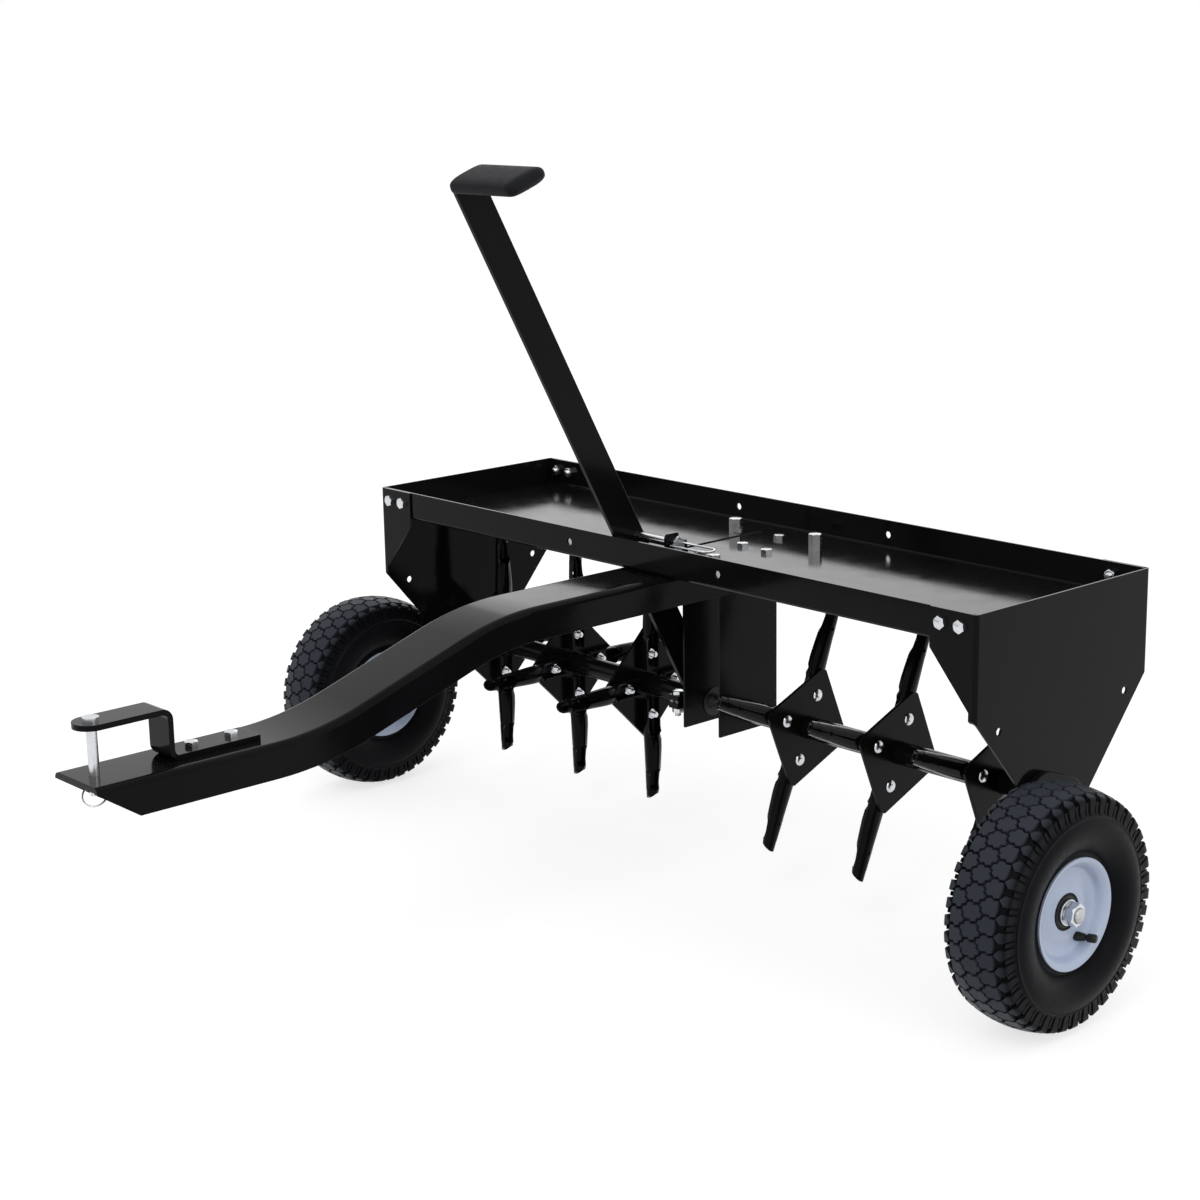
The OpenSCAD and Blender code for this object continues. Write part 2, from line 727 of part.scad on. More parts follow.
// Stub of the wheel spindle, from the crank's inner face to its threaded end
module spindle(side) {
    shoulder_end = track / 2 - hub_l / 2 - side_gap;
    color("#b9bcc1") translate([0, axle_y, axle_z]) right_or_left(side) rotate([0, 90, 0]) {
        translate([0, 0, crank_x]) cylinder(d = shoulder_d - 4, h = crank_t + cut);
        translate([0, 0, crank_x + crank_t]) cylinder(d = shoulder_d, h = shoulder_end - crank_x - crank_t);
        translate([0, 0, crank_x + crank_t]) cylinder(d = spindle_d, h = spindle_end - crank_x - crank_t);
    }
}

module spindle_left() {
    spindle(-1);
}

module spindle_right() {
    spindle(1);
}

module at_axle(side, x) {
    translate([0, axle_y, axle_z]) right_or_left(side) translate([x, 0, 0]) rotate([0, 90, 0]) children();
}

washer_x = track / 2 + hub_l / 2 + side_gap;

module axle_washers() {
    color("#c9ccd1") for (side = [1, -1]) at_axle(side, washer_x) difference() {
        cylinder(d = 2 * spindle_d - 4, h = washer_t);
        drill_z(spindle_d + 2 * fit_gap, 2 * washer_t);
    }
}

module axle_nuts() {
    color("#c9ccd1") for (side = [1, -1]) at_axle(side, washer_x + washer_t)
        hex_nut(spindle_d, 1.4 * spindle_d, axle_nut_h);
}

bend_in = 6;

module lean() {
    at_shaft() rotate([lever_lean, 0, 0]) children();
}

module lever() {
    x0 = lever_x - lever_t / 2;
    outer = bend_in + lever_t;
    color("#17181b") lean() difference() {
        union() {
            plate_x_from(x0, lever_t) circle(r = lever_back);
            translate([x0, -lever_front, 0]) cube([lever_t, lever_w, lever_len - outer]);
            translate([x0 + outer, lever_back, lever_len - outer]) rotate([90, 0, 0])
                linear_extrude(lever_w) ring_part(bend_in, outer, 90, 180);
            translate([x0 + outer, -lever_front, lever_len - lever_t])
                cube([grip_l - outer - 13, lever_w, lever_t]);
        }
        rotate([0, 90, 0]) drill_z(shaft_d + 2 * run_gap, 2 * lever_off);
        translate([0, lock_across, lock_along]) rotate([0, 90, 0])
            drill_z(lock_pin_d + 2 * run_gap, 2 * lever_off);
    }
}

// Moulded grip: a flat oval with a round end, open towards the lever
module lever_grip() {
    r = grip_t / 2;
    x0 = lever_x - lever_t / 2 - 3;
    start = lever_x + lever_t / 2 + bend_in;
    flat = grip_w / 2 - r;
    color("#232427") lean() translate([0, lever_set_back, lever_len - lever_t / 2]) difference() {
        hull() {
            for (side = [-1, 1]) translate([x0 + 4, side * flat, 0]) rotate([0, 90, 0])
                cylinder(r = r, h = grip_l - r - 2, $fn = 28);
            for (side = [-1, 1]) translate([x0 + grip_l - r + 2, side * (flat - 2), 0])
                sphere(r = r - 2, $fn = 28);
        }
        translate([x0 - cut, -lever_w / 2 - fit_gap, -lever_t / 2 - fit_gap])
            cube([grip_l - 10 + cut + fit_gap, lever_w + 2 * fit_gap, lever_t + 2 * fit_gap]);
        translate([x0 - cut, -lever_w / 2 - fit_gap, -grip_t])
            cube([start - x0 + cut, lever_w + 2 * fit_gap, grip_t + lever_t / 2 + fit_gap]);
    }
}

clamp_y = -(collar_d / 2 + 12);
clamp_ear_l = 26;
clamp_ear_t = 7;
clamp_slit = 3;

// Split collar beside the lever's foot, clamped on the shaft by one bolt in front
module lever_collar() {
    color("#17181b") at_shaft() difference() {
        union() {
            translate([-collar_face, 0, 0]) rotate([0, 90, 0]) cylinder(d = collar_d, h = collar_l);
            translate([-collar_face, clamp_y - clamp_ear_l / 2 + 5, -clamp_ear_t - clamp_slit / 2])
                cube([collar_l, -clamp_y + clamp_ear_l / 2 - 5, 2 * clamp_ear_t + clamp_slit]);
        }
        translate([-collar_face, 0, 0]) rotate([0, 90, 0]) drill_z(shaft_d + 2 * run_gap, 3 * collar_l);
        translate([-collar_face - cut, clamp_y - clamp_ear_l, -clamp_slit / 2])
            cube([collar_l + 2 * cut, -clamp_y + clamp_ear_l, clamp_slit]);
        translate([-collar_face + collar_l / 2, clamp_y, 0]) drill_z(bolt_d + 2 * fit_gap, collar_d);
    }
}

module collar_bolt() {
    grip = 2 * clamp_ear_t + clamp_slit;
    color("#c9ccd1") at_shaft() translate([-collar_face + collar_l / 2, clamp_y, 0]) {
        translate([0, 0, grip / 2]) hex_bolt(bolt_d, grip + nut_h + 5, bolt_af, bolt_head_h);
        translate([0, 0, -grip / 2 - nut_h]) hex_nut(bolt_d, bolt_af, nut_h);
    }
}

// Lock pin and its wire pull

module lock_pin() {
    left_end = ear_left_x - 4;
    color("#c9ccd1") translate([0, lock_y, lock_z]) rotate([0, 90, 0]) difference() {
        union() {
            translate([0, 0, left_end]) cylinder(d = lock_pin_d, h = head_x - left_end + lock_head_h / 2);
            translate([0, 0, head_x]) cylinder(d = lock_head_af / cos(30), h = lock_head_h, $fn = 6);
        }
        translate([0, 0, head_x + lock_head_h / 2]) rotate([90, 0, 0])
            drill_z(pull_wire + 2 * run_gap, lock_head_af);
    }
}

module lock_pull() {
    x0 = head_x + lock_head_h / 2;
    color("#c9ccd1") translate([0, lock_y, lock_z]) {
        translate([x0, lock_head_af / 2 + pull_wire, 0]) rotate([90, 0, 0])
            cylinder(d = pull_wire, h = lock_head_af + 2 * pull_wire);
        for (side = [-1, 1]) translate([x0, side * (lock_head_af / 2 + pull_wire), 0]) {
            sphere(d = pull_wire);
            rotate([0, 90, 0]) cylinder(d = pull_wire, h = pull_l);
        }
        translate([x0 + pull_l, 0, 0]) rotate([0, 0, -90])
            rotate_extrude(angle = 180) translate([lock_head_af / 2 + pull_wire, 0]) circle(d = pull_wire);
    }
}

// Wheels: built about the X axis at the tyre's middle, the outer side towards +X

module wheel_place(side) {
    translate([0, axle_y, axle_z]) right_or_left(side) translate([track / 2, 0, 0])
        rotate([0, 90, 0]) children();
}

rim_r = rim_d / 2;
seat_r = rim_r - 8;
bead_w = rim_w - 2 * rim_t - 2 * fit_gap;

// Section of the tyre: x is the distance from the axle and y the way across
module tyre_section() {
    r = tyre_d / 2;
    wall_r = 30;
    crown_r = 108;
    mid_r = r - 40;
    difference() {
        intersection() {
            translate([r - crown_r, 0]) circle(r = crown_r, $fn = 96);
            union() {
                for (side = [-1, 1]) translate([mid_r, side * (tyre_w / 2 - wall_r)]) circle(r = wall_r);
                translate([mid_r, -tyre_w / 2 + 6]) square([r, tyre_w - 12]);
                translate([seat_r + 3 + fit_gap, -bead_w / 2]) square([mid_r - seat_r - 3, bead_w]);
                translate([seat_r + fit_gap, 3 + fit_gap - bead_w / 2])
                    square([mid_r - seat_r, bead_w - 6 - 2 * fit_gap]);
            }
        }
        for (side = [-1, 1]) translate([mid_r - 2, side * (tyre_w / 2 - wall_r)]) circle(r = wall_r - 8);
        translate([mid_r - 24, -tyre_w / 2 + wall_r]) square([wall_r + 14, tyre_w - 2 * wall_r]);
        translate([seat_r - cut, -bead_w / 2 + 14]) square([mid_r - seat_r, bead_w - 28]);
    }
}

module tyre(side) {
    r = tyre_d / 2;
    color("#26272a") wheel_place(side) difference() {
        rotate_extrude($fn = 96) tyre_section();
        for (i = [0 : notch_n - 1], edge = [-1, 1])
            rotate([0, 0, (i + edge / 4) * 360 / notch_n])
            translate([r - notch_h - 6, -2.5, edge > 0 ? tyre_w / 2 - 17 : -tyre_w / 2 - 3])
            cube([notch_h + 8, 5, 20]);
    }
}

module tyre_left() {
    tyre(-1);
}

module tyre_right() {
    tyre(1);
}

// One stamped rim half: lip, bead seat and the shallow dish down to the hub
module rim_half_section() {
    edge = rim_w / 2;
    face = hub_l / 2 - 0.5;
    bore_r = hub_d / 2 + fit_gap;
    bowl = [[seat_r - 5.5, edge - 12.9], [seat_r - 11, edge - 13.8], [seat_r - 15, edge - 13.6],
        [bore_r + 11.9, face - 0.9], [bore_r + 7.4, face - 0.2], [bore_r, face]];
    back = [for (i = [0 : 5]) [bowl[i][0] - (i == 0 ? 1 : 0), bowl[i][1] - rim_t]];
    front = [for (i = [5 : -1 : 0]) bowl[i]];
    polygon(concat([[rim_r, edge], [rim_r, edge - rim_t], [seat_r + 3, edge - rim_t],
        [seat_r, edge - rim_t - 3], [seat_r, 0], [seat_r - rim_t, 0], [seat_r - rim_t, edge - 15.4]],
        back, front, [[seat_r - 3.8, edge - 11.2], [seat_r - 2.7, edge - 8.2], [seat_r - 1.4, edge - 5.2],
        [seat_r + 0.5, edge - 2.8], [seat_r + 3, edge - 1], [rim_r - 2.5, edge - 0.2]]));
}

module rim_outer(side) {
    color("#b4c0d8") wheel_place(side) difference() {
        rotate_extrude($fn = 96) rim_half_section();
        valve_line() translate([0, 0, -8]) cylinder(d = valve_d + 2 * fit_gap, h = 30);
    }
}

module rim_inner(side) {
    color("#b4c0d8") wheel_place(side) mirror([0, 0, 1]) rotate_extrude($fn = 96) rim_half_section();
}

module rim_outer_left() {
    rim_outer(-1);
}

module rim_outer_right() {
    rim_outer(1);
}

module rim_inner_left() {
    rim_inner(-1);
}

module rim_inner_right() {
    rim_inner(1);
}

module hub(side) {
    color("#2c2d30") wheel_place(side) rotate_extrude($fn = 64) {
        translate([bearing_d / 2 + fit_gap, -hub_l / 2]) square([(hub_d - bearing_d) / 2 - fit_gap, hub_l]);
        translate([bearing_d / 2 - 3, -hub_l / 2 + bearing_w + fit_gap])
            square([4, hub_l - 2 * bearing_w - 2 * fit_gap]);
    }
}

module hub_left() {
    hub(-1);
}

module hub_right() {
    hub(1);
}

module bearings(side) {
    color("#26272a") wheel_place(side) for (end = [-hub_l / 2, hub_l / 2 - bearing_w])
        translate([0, 0, end]) rotate_extrude($fn = 64)
        translate([spindle_d / 2 + run_gap, 0]) square([(bearing_d - spindle_d) / 2 - run_gap, bearing_w]);
}

module bearings_left() {
    bearings(-1);
}

module bearings_right() {
    bearings(1);
}

valve_d = 9;
valve_r = 37;
valve_turn = 31;
valve_tilt = 11;

module valve_line() {
    rotate([0, 0, valve_turn]) translate([valve_r, 0, rim_w / 2 - 13.6]) rotate([0, valve_tilt, 0]) children();
}

module valve(side) {
    color("#1b1c1e") wheel_place(side) valve_line() {
        translate([0, 0, -6]) cylinder(d = valve_d, h = 9);
        translate([0, 0, 1.6]) cylinder(d1 = valve_d + 4, d2 = valve_d - 2, h = 5);
        translate([0, 0, 4]) cylinder(d = valve_d - 3, h = 10);
        translate([0, 0, 12]) cylinder(d = valve_d - 1, h = 11);
    }
}

module valve_left() {
    valve(-1);
}

module valve_right() {
    valve(1);
}

// Tine gangs: each is a spool tube with three square plates and four coring tines on each plate

spool_id = spool_od - 2 * spool_wall;
tine_root_r = 20;
spoon_r = 88;
scoop_end_r = tine_tip_r - 22;
lip_r = 5;
lip_d = 9;
tine_nut_af = 12;
// The nuts sit on the root's curled edges, just clear of its flat
tine_nut_seat = 0.25;

function spool_start(side) = (side > 0 ? hanger_x : collar_face) + side_gap;
function spool_end() = plate_x - sheet_t - side_gap;
function first_plate(side) = side > 0 ? gang_right : gang_left;
function spider_x(side) = [first_plate(side), first_plate(side) + pitch_inner,
    first_plate(side) + pitch_inner + pitch_outer];

module gang_place(side) {
    at_shaft() right_or_left(side) rotate([side > 0 ? gang_phase : 0, 0, 0]) children();
}

module tine_places(side, depth) {
    gang_place(side) for (x = spider_x(side), turn = [0, 90, 180, 270])
        translate([x - depth, 0, 0]) rotate([turn, 0, 0]) children();
}

module spool(side) {
    color("#1a1b1e") gang_place(side) translate([spool_start(side), 0, 0]) rotate([0, 90, 0]) difference() {
        cylinder(d = spool_od, h = spool_end() - spool_start(side));
        translate([0, 0, -cut]) cylinder(d = spool_id, h = spool_end() - spool_start(side) + 2 * cut);
    }
}

module spool_left() {
    spool(-1);
}

module spool_right() {
    spool(1);
}

bush_l = 20;

module spool_bushes(side) {
    color("#8f8a78") gang_place(side) for (x = [spool_start(side), spool_end() - bush_l])
        translate([x, 0, 0]) rotate([0, 90, 0]) difference() {
            cylinder(d = spool_id - 2 * run_gap, h = bush_l);
            drill_z(shaft_d + 2 * run_gap, 2 * bush_l);
        }
}

module spool_bushes_left() {
    spool_bushes(-1);
}

module spool_bushes_right() {
    spool_bushes(1);
}

module tine_plate_outline() {
    difference() {
        intersection() {
            rotate(45) square(plate_side, center = true);
            square(2 * plate_corner_r, center = true);
        }
        circle(d = spool_od + 2 * run_gap);
        for (turn = [0, 90, 180, 270]) rotate(turn) translate([tine_bolt_r, 0]) circle(d = bolt_d + 2 * fit_gap);
    }
}

module tine_plates(side) {
    color("#141517") gang_place(side) for (x = spider_x(side)) plate_x_from(x - plate_t, plate_t)
        tine_plate_outline();
}

module tine_plates_left() {
    tine_plates(-1);
}

module tine_plates_right() {
    tine_plates(1);
}

// Edge of the root, curled away from the plate
module curled_edge(side) {
    translate([-lip_r, side * (tine_w / 2 - lip_r)])
        ring_part(lip_r - tine_t, lip_r, side > 0 ? 0 : 270, side > 0 ? 90 : 360);
    translate([-lip_d, side > 0 ? tine_w / 2 - tine_t : -tine_w / 2]) square([lip_d - lip_r, tine_t]);
}

// One coring tine along +Z, its back on the plane x = 0: a flat root with curled
// edges, then a spoon rolled to a tapering tube, open inwards and cut at a slant
module tine() {
    narrowing = atan((tine_w - tine_tip_w) / 2 / (tine_tip_r - spoon_r));
    root_l = spoon_r - tine_root_r + 4;
    difference() {
        union() {
            translate([0, 0, tine_root_r]) linear_extrude(root_l) {
                translate([-tine_t, -tine_w / 2 + lip_r]) square([tine_t, tine_w - 2 * lip_r]);
                for (side = [-1, 1]) curled_edge(side);
            }
            translate([0, 0, spoon_r]) rotate([0, narrowing, 0]) translate([-tine_w / 2, 0, 0]) difference() {
                cylinder(d1 = tine_w, d2 = tine_tip_w, h = tine_tip_r - spoon_r + 2 * cut);
                translate([0, 0, -cut]) cylinder(d1 = tine_w - 2 * tine_t, d2 = tine_tip_w - 2 * tine_t,
                    h = tine_tip_r - spoon_r + 4 * cut);
            }
        }
        translate([-3 * lip_d, -tine_w, spoon_r - 3 * cut])
            cube([2 * lip_d, 2 * tine_w, scoop_end_r - spoon_r + 3 * cut]);
        translate([0, 0, tine_tip_r]) rotate([0, -35, 0]) translate([-tine_w * 2, -tine_w, 0])
            cube([4 * tine_w, 2 * tine_w, tine_w]);
        translate([0, 0, tine_bolt_r]) rotate([0, 90, 0]) drill_z(bolt_d + 2 * fit_gap, tine_w);
        translate([0, 0, scoop_end_r - 4]) rotate([0, 90, 0]) drill_z(5, tine_w / 2);
    }
}

module tines(side) {
    color("#1a1b1e") tine_places(side, plate_t) tine();
}

module tines_left() {
    tines(-1);
}

module tines_right() {
    tines(1);
}

module tine_bolts(side) {
    color("#c9ccd1") tine_places(side, 0) translate([0, 0, tine_bolt_r]) rotate([0, 90, 0])
        dome_bolt(bolt_d, plate_t + tine_t + nut_h + 3, 15, 4);
}

module tine_bolts_left() {
    tine_bolts(-1);
}

module tine_bolts_right() {
    tine_bolts(1);
}

module tine_nuts(side) {
    color("#c9ccd1") tine_places(side, plate_t + tine_t + nut_h + tine_nut_seat) translate([0, 0, tine_bolt_r])
        rotate([0, 90, 0]) hex_nut(bolt_d, tine_nut_af, nut_h);
}

module tine_nuts_left() {
    tine_nuts(-1);
}

module tine_nuts_right() {
    tine_nuts(1);
}

tray();
end_plate_left();
end_plate_right();
hanger_left();
hanger_right();
tow_bar();
hitch_strap();
hitch_bolts();
hitch_nuts();
corner_bolts();
corner_nuts();
tray_bolts();
tray_nuts();
weight_posts();
lock_ears();
shaft_bushes();
cross_shaft();
crank_left();
crank_right();
spindle_left();
spindle_right();
axle_washers();
axle_nuts();
lever();
lever_grip();
lever_collar();
collar_bolt();
lock_pin();
lock_pull();
hitch_pin();
hitch_clip();
tyre_left();
rim_outer_left();
rim_inner_left();
hub_left();
bearings_left();
valve_left();
tyre_right();
rim_outer_right();
rim_inner_right();
hub_right();
bearings_right();
valve_right();
spool_left();
spool_bushes_left();
tine_plates_left();
tines_left();
tine_bolts_left();
tine_nuts_left();
spool_right();
spool_bushes_right();
tine_plates_right();
tines_right();
tine_bolts_right();
tine_nuts_right();
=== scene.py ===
import bpy
import bmesh
import json
import math
from mathutils import Matrix, Vector


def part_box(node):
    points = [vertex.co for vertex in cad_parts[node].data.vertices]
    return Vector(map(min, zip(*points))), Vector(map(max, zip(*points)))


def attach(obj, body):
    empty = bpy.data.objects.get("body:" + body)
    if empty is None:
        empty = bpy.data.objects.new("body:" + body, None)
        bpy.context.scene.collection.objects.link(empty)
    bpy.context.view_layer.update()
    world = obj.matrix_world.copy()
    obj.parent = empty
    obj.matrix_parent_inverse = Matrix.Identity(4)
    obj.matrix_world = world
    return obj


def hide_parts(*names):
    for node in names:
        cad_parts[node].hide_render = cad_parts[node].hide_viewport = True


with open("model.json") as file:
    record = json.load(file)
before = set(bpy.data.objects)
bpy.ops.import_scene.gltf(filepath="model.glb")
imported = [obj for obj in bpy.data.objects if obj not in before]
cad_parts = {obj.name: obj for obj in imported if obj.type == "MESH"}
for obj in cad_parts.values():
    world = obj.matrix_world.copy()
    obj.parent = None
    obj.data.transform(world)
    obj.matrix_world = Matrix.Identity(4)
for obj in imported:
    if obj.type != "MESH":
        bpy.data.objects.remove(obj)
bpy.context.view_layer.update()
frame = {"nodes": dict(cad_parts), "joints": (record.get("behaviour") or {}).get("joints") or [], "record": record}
nodes = frame["nodes"]
scene = bpy.context.scene
print("frame loaded:", len(nodes), "nodes")

# Camera and stage

cameraView = {
    "place": (1.9494, -1.5866, 1.0130),
    "right": (0.6706, 0.7416, -0.0175),
    "up": (-0.1650, 0.1721, 0.9712),
    "ahead": (-0.7233, 0.6484, -0.2377),
    "lens": 69.7, "sensor": 36, "nearest": 0.05, "furthest": 60,
}
stageLook = {"floorColour": 0.48, "floorGlow": 0.70, "floorHalf": 30, "floorDrop": 0.0008,
             "skyForLight": 0.72, "skySeen": 1.0}
lampSet = {
    "key": {"place": (1.2, -2.6, 3.4), "aim": (0.0, 0.1, 0.2), "size": 2.2, "power": 30},
    "side": {"place": (3.6, 0.2, 1.5), "aim": (0.4, 0.25, 0.15), "size": 1.6, "power": 12},
    "rear": {"place": (-2.4, 2.9, 1.3), "aim": (0.1, 0.3, 0.4), "size": 2.4, "power": 11},
}


def addCamera(view):
    cam = bpy.data.objects.new("photoCamera", bpy.data.cameras.new("photoCamera"))
    scene.collection.objects.link(cam)
    r, u, a = (Vector(view[k]).normalized() for k in ("right", "up", "ahead"))
    m = Matrix((r, u, -a)).transposed().to_4x4()
    m.translation = Vector(view["place"])
    cam.matrix_world = m
    cam.data.sensor_width = view["sensor"]
    cam.data.lens = view["lens"]
    cam.data.clip_start, cam.data.clip_end = view["nearest"], view["furthest"]
    scene.camera = cam


def addLamp(name, s):
    lamp = bpy.data.objects.new(name, bpy.data.lights.new(name, "AREA"))
    scene.collection.objects.link(lamp)
    lamp.data.shape = "DISK"
    lamp.data.size = s["size"]
    lamp.data.energy = s["power"]
    lamp.visible_camera = False
    lamp.location = s["place"]
    way = Vector(s["aim"]) - Vector(s["place"])
    lamp.rotation_mode = "QUATERNION"
    lamp.rotation_quaternion = way.to_track_quat("-Z", "Y")


def addSky(look):
    world = bpy.data.worlds.new("studioSky")
    scene.world = world
    world.use_nodes = True
    t = world.node_tree
    t.nodes.clear()
    out = t.nodes.new("ShaderNodeOutputWorld")
    seen, light = t.nodes.new("ShaderNodeBackground"), t.nodes.new("ShaderNodeBackground")
    seen.inputs["Strength"].default_value = look["skySeen"]
    light.inputs["Strength"].default_value = look["skyForLight"]
    seen.inputs["Color"].default_value = light.inputs["Color"].default_value = (1, 1, 1, 1)
    t.links.new(rayIsSeen(t), mixShader(t, light, seen, out).inputs["Fac"])


def rayIsSeen(t):
    # 1 for rays that show the background: camera, glossy and transmission
    path = t.nodes.new("ShaderNodeLightPath")
    a, b = t.nodes.new("ShaderNodeMath"), t.nodes.new("ShaderNodeMath")
    a.operation = b.operation = "MAXIMUM"
    t.links.new(path.outputs["Is Camera Ray"], a.inputs[0])
    t.links.new(path.outputs["Is Glossy Ray"], a.inputs[1])
    t.links.new(a.outputs[0], b.inputs[0])
    t.links.new(path.outputs["Is Transmission Ray"], b.inputs[1])
    return b.outputs[0]


def mixShader(t, first, second, out):
    mix = t.nodes.new("ShaderNodeMixShader")
    t.links.new(first.outputs[0], mix.inputs[1])
    t.links.new(second.outputs[0], mix.inputs[2])
    t.links.new(mix.outputs[0], out.inputs["Surface"])
    return mix


def addFloor(look):
    mesh = bpy.data.meshes.new("studioFloor")
    h = look["floorHalf"]
    mesh.from_pydata([(-h, -h, 0), (h, -h, 0), (h, h, 0), (-h, h, 0)], [], [(0, 1, 2, 3)])
    floor = bpy.data.objects.new("studioFloor", mesh)
    scene.collection.objects.link(floor)
    mat = bpy.data.materials.new("paleFloor")
    mat.use_nodes = True
    t = mat.node_tree
    t.nodes.clear()
    out = t.nodes.new("ShaderNodeOutputMaterial")
    matt = t.nodes.new("ShaderNodeBsdfDiffuse")
    c = look["floorColour"]
    matt.inputs["Color"].default_value = (c, c, c, 1)
    glow = t.nodes.new("ShaderNodeEmission")
    glow.inputs["Strength"].default_value = look["floorGlow"]
    both = t.nodes.new("ShaderNodeAddShader")
    t.links.new(matt.outputs[0], both.inputs[0])
    t.links.new(glow.outputs[0], both.inputs[1])
    t.links.new(rayIsSeen(t), mixShader(t, matt, both, out).inputs["Fac"])
    floor.data.materials.append(mat)
    floor.location.z = -look["floorDrop"]


addCamera(cameraView)
addSky(stageLook)
addFloor(stageLook)
for lampName, lampSettings in lampSet.items():
    addLamp(lampName, lampSettings)
scene.view_settings.view_transform = "Standard"
print("camera and stage made")

# Finishes

# colours are linear, grain and patch are in features per metre
# headOn damps what a face reflects straight on, ior is the refractive index
finishes = {
    "glossPowder": {
        "base": (0.0046, 0.0046, 0.0052), "rough": 0.12, "roughVary": 0.05, "headOn": 0.45, "ior": 1.22,
        "grain": 1400, "grainDepth": 0.02, "patch": 9, "patchTint": (0.0062, 0.0062, 0.0068), "dust": 0.04},
    "satinPowder": {
        "base": (0.0050, 0.0050, 0.0056), "rough": 0.20, "roughVary": 0.06, "headOn": 0.50, "ior": 1.22,
        "grain": 1100, "grainDepth": 0.03, "patch": 14, "patchTint": (0.0068, 0.0068, 0.0074), "dust": 0.04},
    "brightZinc": {
        "base": (0.68, 0.695, 0.72), "metal": 1.0, "rough": 0.25, "roughVary": 0.06,
        "grain": 2600, "grainDepth": 0.025, "patch": 60, "patchTint": (0.60, 0.615, 0.64)},
    "drawnSteel": {
        "base": (0.52, 0.53, 0.54), "metal": 1.0, "rough": 0.30, "roughVary": 0.12,
        "grain": 1800, "grainDepth": 0.05, "patch": 60, "patchTint": (0.36, 0.36, 0.37)},
    "rimEnamel": {
        "base": (0.525, 0.605, 0.775), "rough": 0.24, "roughVary": 0.05,
        "grain": 1300, "grainDepth": 0.03, "patch": 30, "patchTint": (0.505, 0.583, 0.750)},
    "tyreRubber": {
        "base": (0.0056, 0.0060, 0.0074), "rough": 0.42, "roughVary": 0.12, "headOn": 0.35, "ior": 1.20,
        "grain": 2400, "grainDepth": 0.12, "patch": 45, "patchTint": (0.0070, 0.0074, 0.0085),
        "wornTone": (0.036, 0.041, 0.052), "wornFrom": 0.1215, "wornTo": 0.1262},
    "gripFoam": {
        "base": (0.0085, 0.0090, 0.0115), "rough": 0.55, "roughVary": 0.08, "headOn": 0.50, "ior": 1.25,
        "grain": 3200, "grainDepth": 0.16, "patch": 60, "patchTint": (0.011, 0.0115, 0.0145)},
    "valveRubber": {
        "base": (0.008, 0.008, 0.009), "rough": 0.36, "roughVary": 0.1, "headOn": 0.5,
        "grain": 3000, "grainDepth": 0.06, "patch": 90, "patchTint": (0.012, 0.012, 0.013)},
    "darkNylon": {
        "base": (0.010, 0.010, 0.010), "rough": 0.42, "roughVary": 0.1, "headOn": 0.5,
        "grain": 2600, "grainDepth": 0.06, "patch": 90, "patchTint": (0.015, 0.015, 0.015)},
}
# for each use of a noise: its detail, and the part of its values that is spread out
noiseDetail = {"patch": 4.0, "rough": 3.0, "speck": 6.0, "grain": 2.0}
noiseSpan = {"patch": (0.35, 0.7), "rough": (0.3, 0.7), "speck": (0.52, 0.75)}
roughPerPatch = 4
dustLook = {"colour": (0.12, 0.12, 0.115), "speck": 520, "liesFrom": 0.3}
grainHeight = 0.0004
usualIndex = 1.5


def wheelCentre(side):
    lo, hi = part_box("tyre_" + side)
    return (lo + hi) / 2


